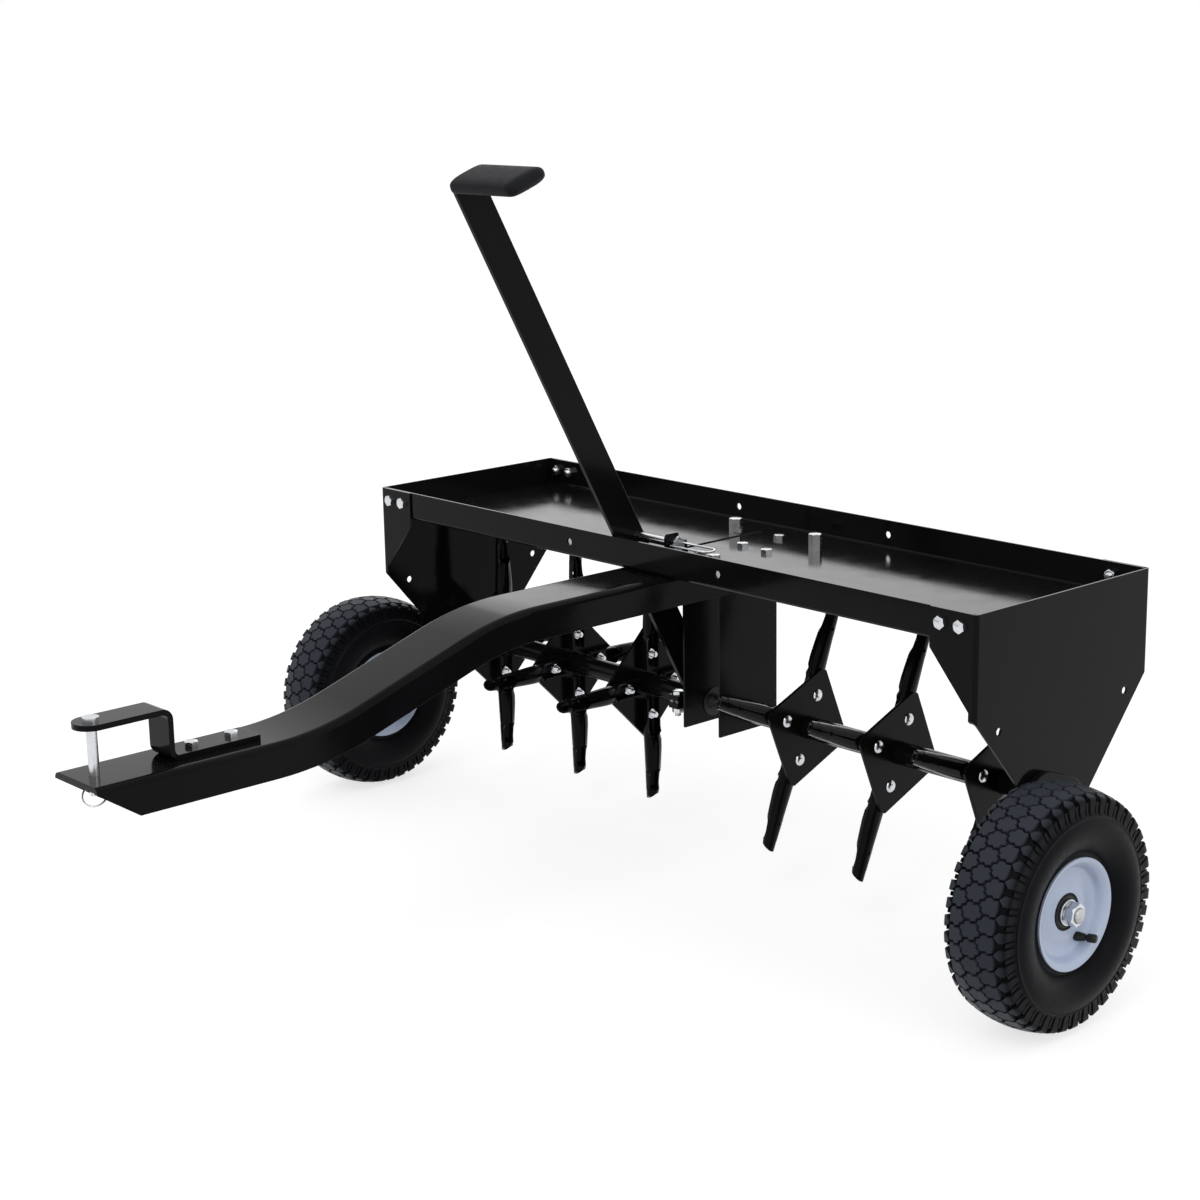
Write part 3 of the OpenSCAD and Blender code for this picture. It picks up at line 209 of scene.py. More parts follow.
def makeFinish(name, s):
    mat = bpy.data.materials.new(name)
    mat.use_nodes = True
    t = mat.node_tree
    n, link = t.nodes, t.links.new
    shader = n["Principled BSDF"]
    shader.inputs["Metallic"].default_value = s.get("metal", 0.0)
    tone = s.get("headOn", 1.0)
    shader.inputs["Specular Tint"].default_value = (tone, tone, tone, 1)
    shader.inputs["IOR"].default_value = s.get("ior", usualIndex)
    mat.diffuse_color = (*s["base"], 1)
    place = n.new("ShaderNodeTexCoord").outputs["Object"]

    def noise(use, scale):
        node = n.new("ShaderNodeTexNoise")
        node.inputs["Scale"].default_value = scale
        node.inputs["Detail"].default_value = noiseDetail[use]
        link(place, node.inputs["Vector"])
        return node.outputs["Fac"]

    def spread(source, span, a, b):
        node = n.new("ShaderNodeMapRange")
        for key, v in (("From Min", span[0]), ("From Max", span[1]), ("To Min", a), ("To Max", b)):
            node.inputs[key].default_value = v
        link(source, node.inputs["Value"])
        return node.outputs["Result"]

    def blend(first, second, factor):
        node = n.new("ShaderNodeMix")
        node.data_type = "RGBA"
        if isinstance(first, tuple):
            node.inputs["A"].default_value = (*first, 1)
        else:
            link(first, node.inputs["A"])
        node.inputs["B"].default_value = (*second, 1)
        link(factor, node.inputs["Factor"])
        return node.outputs["Result"]

    def vectorStep(kind, source, values=None):
        node = n.new("ShaderNodeVectorMath")
        node.operation = kind
        if values:
            node.inputs[1].default_value = values
        link(source, node.inputs[0])
        return node.outputs["Value" if kind == "LENGTH" else "Vector"]

    patches = spread(noise("patch", s["patch"]), noiseSpan["patch"], 0.0, 1.0)
    colour = blend(s["base"], s["patchTint"], patches)
    if s.get("dust"):
        # fine pale dust that lies on faces that look up
        up, parts = n.new("ShaderNodeNewGeometry"), n.new("ShaderNodeSeparateXYZ")
        link(up.outputs["Normal"], parts.inputs[0])
        amount = n.new("ShaderNodeMath")
        amount.operation = "MULTIPLY"
        link(spread(parts.outputs["Z"], (dustLook["liesFrom"], 1.0), 0.0, s["dust"]), amount.inputs[0])
        link(spread(noise("speck", dustLook["speck"]), noiseSpan["speck"], 0.0, 1.0), amount.inputs[1])
        colour = blend(colour, dustLook["colour"], amount.outputs[0])
    if s.get("wornTone"):
        # paler where the rubber is far from the axle, which is the same line for both wheels
        middle = wheelCentre("right")
        away = vectorStep("SUBTRACT", place, (0.0, middle.y, middle.z))
        reach = vectorStep("LENGTH", vectorStep("MULTIPLY", away, (0.0, 1.0, 1.0)))
        colour = blend(colour, s["wornTone"], spread(reach, (s["wornFrom"], s["wornTo"]), 0.0, 1.0))
    link(colour, shader.inputs["Base Color"])
    low, high = s["rough"] - s["roughVary"] / 2, s["rough"] + s["roughVary"] / 2
    sheen = noise("rough", s["patch"] * roughPerPatch)
    link(spread(sheen, noiseSpan["rough"], low, high), shader.inputs["Roughness"])
    bump = n.new("ShaderNodeBump")
    bump.inputs["Strength"].default_value = s["grainDepth"]
    bump.inputs["Distance"].default_value = grainHeight
    link(noise("grain", s["grain"]), bump.inputs["Height"])
    link(bump.outputs["Normal"], shader.inputs["Normal"])
    return mat


finish = {name: makeFinish(name, s) for name, s in finishes.items()}
print("finishes made:", ", ".join(finish))

slotFinish = {
    "black_gloss_paint": "glossPowder", "black_paint": "satinPowder", "bright_zinc": "brightZinc",
    "steel_bar": "drawnSteel", "bush_plastic": "darkNylon", "tyre_rubber": "tyreRubber",
    "rim_paint": "rimEnamel", "bearing_steel": "darkNylon", "valve_rubber": "valveRubber",
    "grip_plastic": "gripFoam",
}
bodyOf = {n: b for b, members in frame["record"]["behaviour"]["bodies"].items() for n in members}
slotOf = {p["node"]: p["material_slot"] for p in frame["record"]["subparts"]}


def finishOf(node):
    return finish[slotFinish[slotOf[node]]]


# Helpers for meshes

# faces that meet at less than this, in degrees, are shaded as one
smoothUnder = {"fasteners": 32, "tineStrip": 60, "tines": 38, "lockEars": 32, "carcass": 50, "thinRibs": 35,
               "lugs": 40, "tyre": 42, "valve": 40, "grip": 60}
weldReach = 2e-5


def linked(name, mesh):
    obj = bpy.data.objects.new(name, mesh)
    scene.collection.objects.link(obj)
    return obj


def settle(obj):
    # the evaluated object becomes a plain mesh of its own
    obj.data.update()
    bpy.context.view_layer.update()
    seen = bpy.context.evaluated_depsgraph_get()
    mesh = bpy.data.meshes.new_from_object(obj.evaluated_get(seen))
    obj.modifiers.clear()
    old = obj.data
    obj.data = mesh
    bpy.data.meshes.remove(old)


def smoothOver(mesh, degrees):
    mesh.shade_smooth()
    mesh.set_sharp_from_angle(angle=math.radians(degrees))


def meshFrom(name, bm, degrees):
    mesh = bpy.data.meshes.new(name)
    bm.to_mesh(mesh)
    bm.free()
    smoothOver(mesh, degrees)
    return mesh


def mergedCopy(node):
    bm = bmesh.new()
    bm.from_mesh(nodes[node].data)
    bmesh.ops.remove_doubles(bm, verts=bm.verts, dist=weldReach)
    return bm


def solidsOf(node):
    # low and high corner of the box of every separate solid of a node
    bm = mergedCopy(node)
    found, left = [], set(bm.verts)
    while left:
        heap, island = [left.pop()], []
        while heap:
            v = heap.pop()
            island.append(v.co.copy())
            for e in v.link_edges:
                w = e.other_vert(v)
                if w in left:
                    left.remove(w)
                    heap.append(w)
        lo = Vector([min(p[i] for p in island) for i in range(3)])
        hi = Vector([max(p[i] for p in island) for i in range(3)])
        found.append((lo, hi))
    bm.free()
    return sorted(found, key=lambda s: tuple(s[0]))


def easeEdges(obj, radius, angle):
    bevel = obj.modifiers.new("easedEdges", "BEVEL")
    bevel.width = radius
    bevel.segments = 2
    bevel.limit_method = "ANGLE"
    bevel.angle_limit = math.radians(angle)
    bevel.use_clamp_overlap = True
    bevel.miter_outer = "MITER_ARC"
    even = obj.modifiers.new("evenFaces", "WEIGHTED_NORMAL")
    even.keep_sharp = True
    settle(obj)


def jointPlace(name):
    return Vector(next(j for j in frame["joints"] if j["name"] == name)["pos_m"])


def finishPiece(obj, node):
    if not obj.data.materials:
        obj.data.materials.append(finishOf(node))
    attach(obj, bodyOf[node])
    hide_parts(node)


# Rigid pieces with eased edges

# edge radius of each piece, 0 leaves its edges as they are
easedEdges = {
    "tray": 0.0007, "end_plate_left": 0.0007, "end_plate_right": 0.0007,
    "hanger_left": 0.0007, "hanger_right": 0.0007, "tow_bar": 0.0011, "hitch_strap": 0.0012,
    "lever": 0.0012, "lever_collar": 0.0010, "crank_left": 0.0014, "crank_right": 0.0014,
    "tine_plates_left": 0.0008, "tine_plates_right": 0.0008, "spool_left": 0.0006,
    "spool_right": 0.0006, "spool_bushes_left": 0, "spool_bushes_right": 0,
    "shaft_bushes": 0.0004, "cross_shaft": 0.0010, "spindle_left": 0.0010,
    "spindle_right": 0.0010, "axle_washers": 0.0004, "hitch_pin": 0.0008,
    "hitch_clip": 0, "lock_pin": 0.0008, "lock_pull": 0,
    "rim_inner_left": 0.0006, "rim_inner_right": 0.0006,
    "rim_outer_left": 0.0006, "rim_outer_right": 0.0006, "hub_left": 0.0005,
    "hub_right": 0.0005, "bearings_left": 0.0005, "bearings_right": 0.0005,
}
# an edge is eased, and shaded sharp, over this many degrees; the bent wires have an angle of their own
edgeAngle = {"usual": 40, "hitch_clip": 50, "lock_pull": 50}
# facets that meet at less than this, in degrees, are joined before their edges are eased
flatUnder = 0.6


def easedPiece(node, radius):
    angle = edgeAngle.get(node, edgeAngle["usual"])
    bm = mergedCopy(node)
    if radius:
        bmesh.ops.dissolve_limit(bm, angle_limit=math.radians(flatUnder), verts=bm.verts, edges=bm.edges)
    obj = linked(node + "_piece", meshFrom(node + "_piece", bm, angle))
    if radius:
        easeEdges(obj, radius, angle)
    finishPiece(obj, node)


for node, edgeRadius in easedEdges.items():
    easedPiece(node, edgeRadius)
print("eased pieces made:", len(easedEdges))

# Bolts and nuts

# corners are turned off outside a share of the flats, a bolt's head stands on a round face
hexForm = {"steps": 24, "faceShare": 0.95, "cornerSlope": 30, "mouth": 0.0006, "boreSlack": 0.00004,
           "seatShare": 0.47, "seatFrom": -0.0001, "seatTo": 0.0005}
domeForm = {"steps": 24, "rim": 0.0004, "angles": (12, 28, 45, 62, 78)}
# point: share of the radius and distance from the end; root and crest: share of the radius and of the pitch
shankForm = {"steps": 16, "point": [(0.55, 0.0), (0.82, 0.0004), (0.97, 0.0012)], "pitch": 0.00125,
             "root": (0.87, 0.35), "crest": (0.99, 0.75), "plain": 0.98, "intoHead": 0.0002}
# a hexagon turned by this much looks the same
hexTurn = math.pi / 3


def hexRadius(turn, acrossFlats):
    # distance to the side of a hexagon in that direction
    off = (turn + hexTurn / 2) % hexTurn - hexTurn / 2
    return acrossFlats / 2 / math.cos(off)


def ringFaces(bm, a, b):
    n = len(a)
    for i in range(n):
        bm.faces.new((a[i], a[(i + 1) % n], b[(i + 1) % n], b[i]))


def ringOf(bm, radiusAt, heightAt, count):
    ring = []
    for i in range(count):
        turn = 2 * math.pi * i / count
        r = radiusAt(turn)
        ring.append(bm.verts.new((r * math.cos(turn), r * math.sin(turn), heightAt(turn, r))))
    return ring


def addLathe(bm, profile, count):
    # closed at both ends, profile from low to high as (radius, height)
    rings = [ringOf(bm, lambda t, r=r: r, lambda t, q, z=z: z, count) for r, z in profile]
    for a, b in zip(rings, rings[1:]):
        ringFaces(bm, a, b)
    bm.faces.new(list(reversed(rings[0])))
    bm.faces.new(rings[-1])


def addHex(bm, af, base, top, bore, chamferBase):
    # hexagon with its corners turned off, open in the middle when it has a bore
    count, mouth = hexForm["steps"], hexForm["mouth"]
    face = hexForm["faceShare"] * af / 2
    slope = math.tan(math.radians(hexForm["cornerSlope"]))

    def side(t):
        return hexRadius(t, af)

    upper = ringOf(bm, side, lambda t, r: top - max(0, r - face) * slope, count)
    lower = ringOf(bm, side, lambda t, r: base + (max(0, r - face) * slope if chamferBase else 0), count)
    topFlat = ringOf(bm, lambda t: face, lambda t, r: top, count)
    ringFaces(bm, lower, upper)
    ringFaces(bm, upper, topFlat)
    lowFlat = ringOf(bm, lambda t: face, lambda t, r: base, count)
    ringFaces(bm, lowFlat, lower)
    if bore:
        mouthTop = ringOf(bm, lambda t: bore + mouth, lambda t, r: top, count)
        mouthIn = ringOf(bm, lambda t: bore, lambda t, r: top - mouth, count)
        lowIn = ringOf(bm, lambda t: bore, lambda t, r: base, count)
        ringFaces(bm, topFlat, mouthTop)
        ringFaces(bm, mouthTop, mouthIn)
        ringFaces(bm, mouthIn, lowIn)
        ringFaces(bm, lowIn, lowFlat)
    else:
        bm.faces.new(topFlat)
        bm.faces.new(list(reversed(lowFlat)))


def addShank(bm, r, end, start, threaded):
    # from the tip up to the head, with thread crests near the tip
    f, pitch = shankForm, shankForm["pitch"]
    profile = [(r * share, end + up) for share, up in f["point"]]
    z = profile[-1][1]
    while z + pitch < end + threaded:
        profile += [(r * share, z + pitch * up) for share, up in (f["root"], f["crest"])]
        z += pitch
    profile += [(r * f["plain"], z + pitch), (r * f["plain"], start)]
    addLathe(bm, profile, f["steps"])


def boltShape(name, s):
    # head above its seat at z = 0, shank below
    bm = bmesh.new()
    if s["head"] == "hex":
        seat = s["af"] * hexForm["seatShare"]
        addHex(bm, s["af"], 0.0, s["headHeight"], 0, False)
        addLathe(bm, [(seat, hexForm["seatFrom"]), (seat, hexForm["seatTo"])], hexForm["steps"])
    else:
        r, h = s["headRadius"], s["headHeight"]
        turns = [math.radians(a) for a in domeForm["angles"]]
        dome = [(r * math.cos(t), h * math.sin(t)) for t in turns]
        addLathe(bm, [(r, 0.0), (r, domeForm["rim"])] + dome, domeForm["steps"])
    if s["length"] > 0:
        addShank(bm, s["radius"], -s["length"], shankForm["intoHead"], s["threaded"])
    return meshFrom(name, bm, smoothUnder["fasteners"])


def nutShape(name, s):
    bm = bmesh.new()
    addHex(bm, s["af"], 0.0, s["height"], s["radius"] + hexForm["boreSlack"], True)
    return meshFrom(name, bm, smoothUnder["fasteners"])


def placerTree():
    # puts one shape on every point, its +Z along the point's aim, turned by a seeded chance
    tree = bpy.data.node_groups.new("placeFasteners", "GeometryNodeTree")
    face = tree.interface
    face.new_socket("Places", in_out="INPUT", socket_type="NodeSocketGeometry")
    face.new_socket("Shape", in_out="INPUT", socket_type="NodeSocketObject")
    face.new_socket("Finish", in_out="INPUT", socket_type="NodeSocketMaterial")
    face.new_socket("Seed", in_out="INPUT", socket_type="NodeSocketInt")
    face.new_socket("Most turn", in_out="INPUT", socket_type="NodeSocketFloat")
    face.new_socket("Fasteners", in_out="OUTPUT", socket_type="NodeSocketGeometry")
    n, link = tree.nodes, tree.links.new
    start, end = n.new("NodeGroupInput"), n.new("NodeGroupOutput")
    info = n.new("GeometryNodeObjectInfo")
    info.transform_space = "ORIGINAL"
    link(start.outputs["Shape"], info.inputs["Object"])
    aim = n.new("GeometryNodeInputNamedAttribute")
    aim.data_type = "FLOAT_VECTOR"
    aim.inputs["Name"].default_value = "aim"
    align = n.new("FunctionNodeAlignRotationToVector")
    align.axis = "Z"
    link(aim.outputs["Attribute"], align.inputs["Vector"])
    across = n.new("GeometryNodeInputNamedAttribute")
    across.data_type = "FLOAT_VECTOR"
    across.inputs["Name"].default_value = "across"
    side = n.new("FunctionNodeAlignRotationToVector")
    side.axis, side.pivot_axis = "X", "Z"
    link(align.outputs["Rotation"], side.inputs["Rotation"])
    link(across.outputs["Attribute"], side.inputs["Vector"])
    chance = n.new("FunctionNodeRandomValue")
    chance.data_type = "FLOAT"
    link(start.outputs["Most turn"], chance.inputs[3])
    link(start.outputs["Seed"], chance.inputs["Seed"])
    spin = n.new("FunctionNodeAxisAngleToRotation")
    spin.inputs["Axis"].default_value = (0, 0, 1)
    link(chance.outputs[1], spin.inputs["Angle"])
    turn = n.new("FunctionNodeRotateRotation")
    turn.rotation_space = "LOCAL"
    link(side.outputs["Rotation"], turn.inputs["Rotation"])
    link(spin.outputs["Rotation"], turn.inputs["Rotate By"])
    put = n.new("GeometryNodeInstanceOnPoints")
    link(start.outputs["Places"], put.inputs["Points"])
    link(info.outputs["Geometry"], put.inputs["Instance"])
    link(turn.outputs["Rotation"], put.inputs["Rotation"])
    real, paint = n.new("GeometryNodeRealizeInstances"), n.new("GeometryNodeSetMaterial")
    link(put.outputs["Instances"], real.inputs["Geometry"])
    link(real.outputs["Geometry"], paint.inputs["Geometry"])
    link(start.outputs["Finish"], paint.inputs["Material"])
    link(paint.outputs["Geometry"], end.inputs["Fasteners"])
    return tree


def setInputs(modifier, values):
    for item in modifier.node_group.interface.items_tree:
        if item.item_type == "SOCKET" and item.in_out == "INPUT" and item.name in values:
            modifier[item.identifier] = values[item.name]


placer = placerTree()


def placeFasteners(node, places, shapeMesh, look, seed, mostTurn, smoothAngle):
    # places are (seat, way of the shape's Z, way of its X)
    mesh = bpy.data.meshes.new(node + "_places")
    mesh.from_pydata([tuple(p[0]) for p in places], [], [])
    for k, name in ((1, "aim"), (2, "across")):
        ways = mesh.attributes.new(name, "FLOAT_VECTOR", "POINT")
        for i, p in enumerate(places):
            ways.data[i].vector = p[k]
    shape = linked(node + "_shape", shapeMesh)
    obj = linked(node + "_piece", mesh)
    mod = obj.modifiers.new("places", "NODES")
    mod.node_group = placer
    setInputs(mod, {"Shape": shape, "Finish": finish[look], "Seed": seed, "Most turn": mostTurn})
    settle(obj)
    bpy.data.objects.remove(shape)
    smoothOver(obj.data, smoothAngle)
    finishPiece(obj, node)


def sideWay(aim):
    # a level direction square to the aim
    return Vector((0, 1, 0)) if abs(aim.y) < 0.5 else Vector((1, 0, 0))


trayLow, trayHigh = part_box("tray")
trayMiddleY = (trayLow.y + trayHigh.y) / 2


def aimFor(kind, lo, hi):
    # the way a head or a nut's outer face looks
    mid = (lo + hi) / 2
    if kind == "up":
        return Vector((0, 0, 1))
    if kind == "down":
        return Vector((0, 0, -1))
    if kind == "outY":
        return Vector((0, 1 if mid.y > trayMiddleY else -1, 0))
    if kind == "inY":
        return Vector((0, -1 if mid.y > trayMiddleY else 1, 0))
    if kind == "outX":
        return Vector((1 if mid.x > 0 else -1, 0, 0))
    return Vector((-1 if mid.x > 0 else 1, 0, 0))


# sizes in metres, aim is the way the head or the nut's outer end looks
boltSet = {
    "hitch_bolts": {"aim": "up", "head": "hex", "af": 0.013, "headHeight": 0.005, "threaded": 0.012},
    "corner_bolts": {"aim": "outY", "head": "hex", "af": 0.013, "headHeight": 0.005, "threaded": 0.012},
    "tray_bolts": {"aim": "up", "head": "hex", "af": 0.013, "headHeight": 0.005, "threaded": 0.012},
    "weight_posts": {"aim": "up", "head": "hex", "af": 0.0145, "headHeight": 0.020, "seatBelowTop": 0.024,
                     "threaded": 0.010},
    "tine_bolts_left": {"aim": "outX", "head": "dome", "headRadius": 0.0075, "headHeight": 0.004,
                        "threaded": 0.012, "longer": 0.005},
    "tine_bolts_right": {"aim": "outX", "head": "dome", "headRadius": 0.0075, "headHeight": 0.004,
                         "threaded": 0.012, "longer": 0.005},
}
boltRadius = 0.004
nutSet = {
    "hitch_nuts": {"aim": "down", "af": 0.013, "radius": boltRadius, "mostTurn": hexTurn},
    "corner_nuts": {"aim": "inY", "af": 0.013, "radius": boltRadius, "mostTurn": hexTurn},
    "tray_nuts": {"aim": "down", "af": 0.013, "radius": boltRadius, "mostTurn": hexTurn},
    "tine_nuts_left": {"aim": "inX", "af": 0.012, "radius": boltRadius, "mostTurn": 0.0},
    "tine_nuts_right": {"aim": "inX", "af": 0.012, "radius": boltRadius, "mostTurn": 0.0},
    "axle_nuts": {"aim": "outX", "af": 0.0224, "radius": 0.008, "mostTurn": hexTurn},
}
firstSeed = {"bolts": 11, "nuts": 41, "tines": 7}


def extentAlong(aim, lo, hi):
    # both ends of a solid along its aim, and its length
    mid = (lo + hi) / 2
    half = abs(aim.dot(hi - lo)) / 2
    return (mid - aim * half, mid + aim * half), 2 * half


def makeBolts(node, s, seed):
    # the solids of a node are alike, so the length of one serves for all
    places = []
    for lo, hi in solidsOf(node):
        aim = aimFor(s["aim"], lo, hi)
        ends, total = extentAlong(aim, lo, hi)
        places.append((ends[1] - aim * s.get("seatBelowTop", s["headHeight"]), aim, sideWay(aim)))
    length = total - s["headHeight"] + s.get("longer", 0.0)
    shape = boltShape(node + "_shape", dict(s, radius=boltRadius, length=length))
    placeFasteners(node, places, shape, "brightZinc", seed, hexTurn, smoothUnder["fasteners"])


def makeNuts(node, s, seed):
    # the same holds for nuts, their seat is the low end
    places = []
    for lo, hi in solidsOf(node):
        aim = aimFor(s["aim"], lo, hi)
        ends, total = extentAlong(aim, lo, hi)
        places.append((ends[0], aim, sideWay(aim)))
    shape = nutShape(node + "_shape", dict(s, height=total))
    placeFasteners(node, places, shape, "brightZinc", seed, s["mostTurn"], smoothUnder["fasteners"])


for seed, (node, settings) in enumerate(boltSet.items()):
    makeBolts(node, settings, seed + firstSeed["bolts"])
for seed, (node, settings) in enumerate(nutSet.items()):
    makeNuts(node, settings, seed + firstSeed["nuts"])

collarBoltLook = {"af": 0.013, "headHeight": 0.005, "threaded": 0.012}


def makeCollarBolt(s):
    # one long bolt and its nut on the lever's clamp, both standing upright
    (lo, hi), (nutLow, nutHigh) = sorted(solidsOf("collar_bolt"), key=lambda b: b[0].z - b[1].z)
    bm = bmesh.new()
    mid, seat = (lo + hi) / 2, hi.z - s["headHeight"]
    addHex(bm, s["af"], seat, hi.z, 0, False)
    addShank(bm, boltRadius, lo.z, seat + shankForm["intoHead"], s["threaded"])
    addHex(bm, s["af"], nutLow.z, nutHigh.z, boltRadius + hexForm["boreSlack"], True)
    bmesh.ops.translate(bm, verts=bm.verts, vec=(mid.x, mid.y, 0))
    obj = linked("collar_bolt_piece", meshFrom("collar_bolt_piece", bm, smoothUnder["fasteners"]))
    finishPiece(obj, "collar_bolt")


makeCollarBolt(collarBoltLook)
print("bolts and nuts made")

# Coring tines

tineLook = {
    "look": "glossPowder", "thick": 0.0023, "columns": 12,
    "hole": 0.0026, "holeAt": 0.121, "slant": 0.62, "slantFrom": 0.140,
    # distance from the shaft, half width, half depth, squareness, half of the opening's turn in degrees
    "stations": [
        (0.0200, 0.0112, 0.0092, 4.0, 96), (0.0580, 0.0114, 0.0092, 4.0, 96),
        (0.0640, 0.0114, 0.0088, 3.4, 120), (0.0690, 0.0112, 0.0080, 2.8, 168),
        (0.0740, 0.0118, 0.0094, 2.5, 175), (0.0850, 0.0116, 0.0098, 2.4, 175),
        (0.1000, 0.0109, 0.0096, 2.3, 175), (0.1120, 0.0103, 0.0093, 2.2, 172),
        (0.1160, 0.0101, 0.0092, 2.2, 118), (0.1184, 0.0100, 0.0092, 2.2, 106),
        (0.1210, 0.0099, 0.0091, 2.2, 100), (0.1236, 0.0098, 0.0090, 2.2, 98),
        (0.1340, 0.0092, 0.0086, 2.1, 98), (0.1400, 0.0089, 0.0084, 2.1, 106),
        (0.1430, 0.0087, 0.0083, 2.0, 150), (0.1460, 0.0085, 0.0082, 2.0, 174),
        (0.1550, 0.0080, 0.0078, 2.0, 175)],
}


def tineShape(name, s):
    # a rolled strip: a flat root with turned-up edges, then a tube with a window for the soil
    bm = bmesh.new()
    count, holeRow = s["columns"], [r[0] for r in s["stations"]].index(s["holeAt"])
    tip, slantFrom = s["stations"][-1][0], s["slantFrom"]
    grid = []
    for z, w, h, square, opening in s["stations"]:
        row = []
        for j in range(count + 1):
            t = math.radians(opening) * (2 * j / count - 1)
            c, q, e = math.cos(t), math.sin(t), 2 / square
            x = -h + h * math.copysign(abs(c) ** e, c)
            y = w * math.copysign(abs(q) ** e, q)
            lift = s["slant"] * x * max(0.0, (z - slantFrom) / (tip - slantFrom))
            row.append(bm.verts.new((x, y, z + lift)))
        grid.append(row)
    # a small hole with eight corners goes through the back, inside the window
    middle = count // 2
    for di in (-1, 0, 1):
        for dj in (-1, 0, 1):
            if di or dj:
                reach = s["hole"] / math.hypot(di, dj)
                v = grid[holeRow + di][middle + dj]
                v.co = Vector((v.co.x, dj * reach, s["holeAt"] + di * reach))
    for i in range(len(grid) - 1):
        for j in range(count):
            if i in (holeRow - 1, holeRow) and j in (middle - 1, middle):
                continue
            bm.faces.new((grid[i][j], grid[i][j + 1], grid[i + 1][j + 1], grid[i + 1][j]))
    for v in [v for v in bm.verts if not v.link_faces]:
        bm.verts.remove(v)
    obj = linked(name, meshFrom(name, bm, smoothUnder["tineStrip"]))
    wall = obj.modifiers.new("wall", "SOLIDIFY")
    wall.thickness, wall.offset, wall.use_even_offset = s["thick"], -1, True
    settle(obj)
    mesh = obj.data.copy()
    bpy.data.objects.remove(obj)
    return mesh


def makeTines(side, s):
    # each tine stands behind its plate, where the bolt of that tine is
    out = 1 if side == "right" else -1
    pivot = jointPlace("tines_" + side + "_spin")
    backs = [lo.x if out > 0 else hi.x for lo, hi in solidsOf("tine_plates_" + side)]
    places = []
    for lo, hi in solidsOf("tine_bolts_" + side):
        mid = (lo + hi) / 2
        back = min(backs, key=lambda x: abs(x - mid.x))
        way = Vector((0, mid.y - pivot.y, mid.z - pivot.z)).normalized()
        places.append((Vector((back, pivot.y, pivot.z)), way, Vector((out, 0, 0))))
    shape = tineShape("tine_shape_" + side, s)
    placeFasteners("tines_" + side, places, shape, s["look"], firstSeed["tines"], 0.0, smoothUnder["tines"])


for side in ("left", "right"):
    makeTines(side, tineLook)
print("tines made")

# Lock ears

earLook = {"thick": 0.004, "corner": 0.006, "pinRadius": 0.005, "slack": 0.0007, "nose": 0.004,
           "lowNose": 0.019, "edge": 0.0005, "lowEdgeIn": 0.002, "tipRound": 0.003, "tipIn": 0.001}


def arcPoints(centre, radius, start, end, steps):
    # points on an arc, angles in radians
    turns = [start + (end - start) * k / steps for k in range(steps + 1)]
    return [(centre[0] + radius * math.cos(t), centre[1] + radius * math.sin(t)) for t in turns]


def earOutline(s, lo, hi, pin, pivot):
    # a hook over the pin, open to the rear along the pin's own arc, as (y, z)
    seat = s["pinRadius"] + s["slack"]
    y0, z0 = pin.y - pivot.y, pin.z - pivot.z
    far, at = math.hypot(y0, z0), math.atan2(z0, y0)
    c, low, top = s["corner"], lo.z - pivot.z, hi.z - pivot.z
    front = lo.y - pivot.y
    upperEnd = y0 + s["nose"]
    upEnd = math.acos(upperEnd / (far + seat))
    downEnd = math.acos((y0 + s["lowNose"]) / (far - seat))
    points = [(front, low), (hi.y - pivot.y - s["lowEdgeIn"], low)]
    points += arcPoints((0, 0), far - seat, downEnd, at, 6)
    points += arcPoints((y0, z0), seat, at + math.pi, at, 10)[1:-1]
    points += arcPoints((0, 0), far + seat, at, upEnd, 4)
    tip = (upperEnd - s["tipIn"], top - s["tipRound"])
    points += arcPoints(tip, s["tipRound"], 0.0, math.pi / 2, 4)
    points += arcPoints((front + c, top - c), c, math.pi / 2, math.pi, 6)
    return [(pivot.y + y, pivot.z + z) for y, z in points]


def addPrism(bm, outline, x0, x1):
    # an outline in (y, z) made solid from x0 to x1
    a = [bm.verts.new((x0, y, z)) for y, z in outline]
    b = [bm.verts.new((x1, y, z)) for y, z in outline]
    ringFaces(bm, a, b)
    bm.faces.new(a)
    bm.faces.new(b)


def makeLockEars(s):
    pivot, (pinLow, pinHigh) = jointPlace("lift_lever"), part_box("lock_pin")
    pin, (allLow, allHigh) = (pinLow + pinHigh) / 2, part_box("lock_ears")
    bm = bmesh.new()
    for lo, hi in solidsOf("lock_ears"):
        left = lo.x + hi.x < allLow.x + allHigh.x
        x0, x1 = (hi.x - s["thick"], hi.x) if left else (lo.x, lo.x + s["thick"])
        foot0, foot1 = (lo.x, x0) if left else (x1, hi.x)
        addPrism(bm, earOutline(s, lo, hi, pin, pivot), x0, x1)
        sole = lo.z + s["thick"]
        addPrism(bm, [(lo.y, lo.z), (hi.y, lo.z), (hi.y, sole), (lo.y, sole)], foot0, foot1)
    bmesh.ops.recalc_face_normals(bm, faces=bm.faces)
    obj = linked("lock_ears_piece", meshFrom("lock_ears_piece", bm, smoothUnder["lockEars"]))
    easeEdges(obj, s["edge"], edgeAngle["usual"])
    finishPiece(obj, "lock_ears")


makeLockEars(earLook)
print("lock ears made")

# Wheels

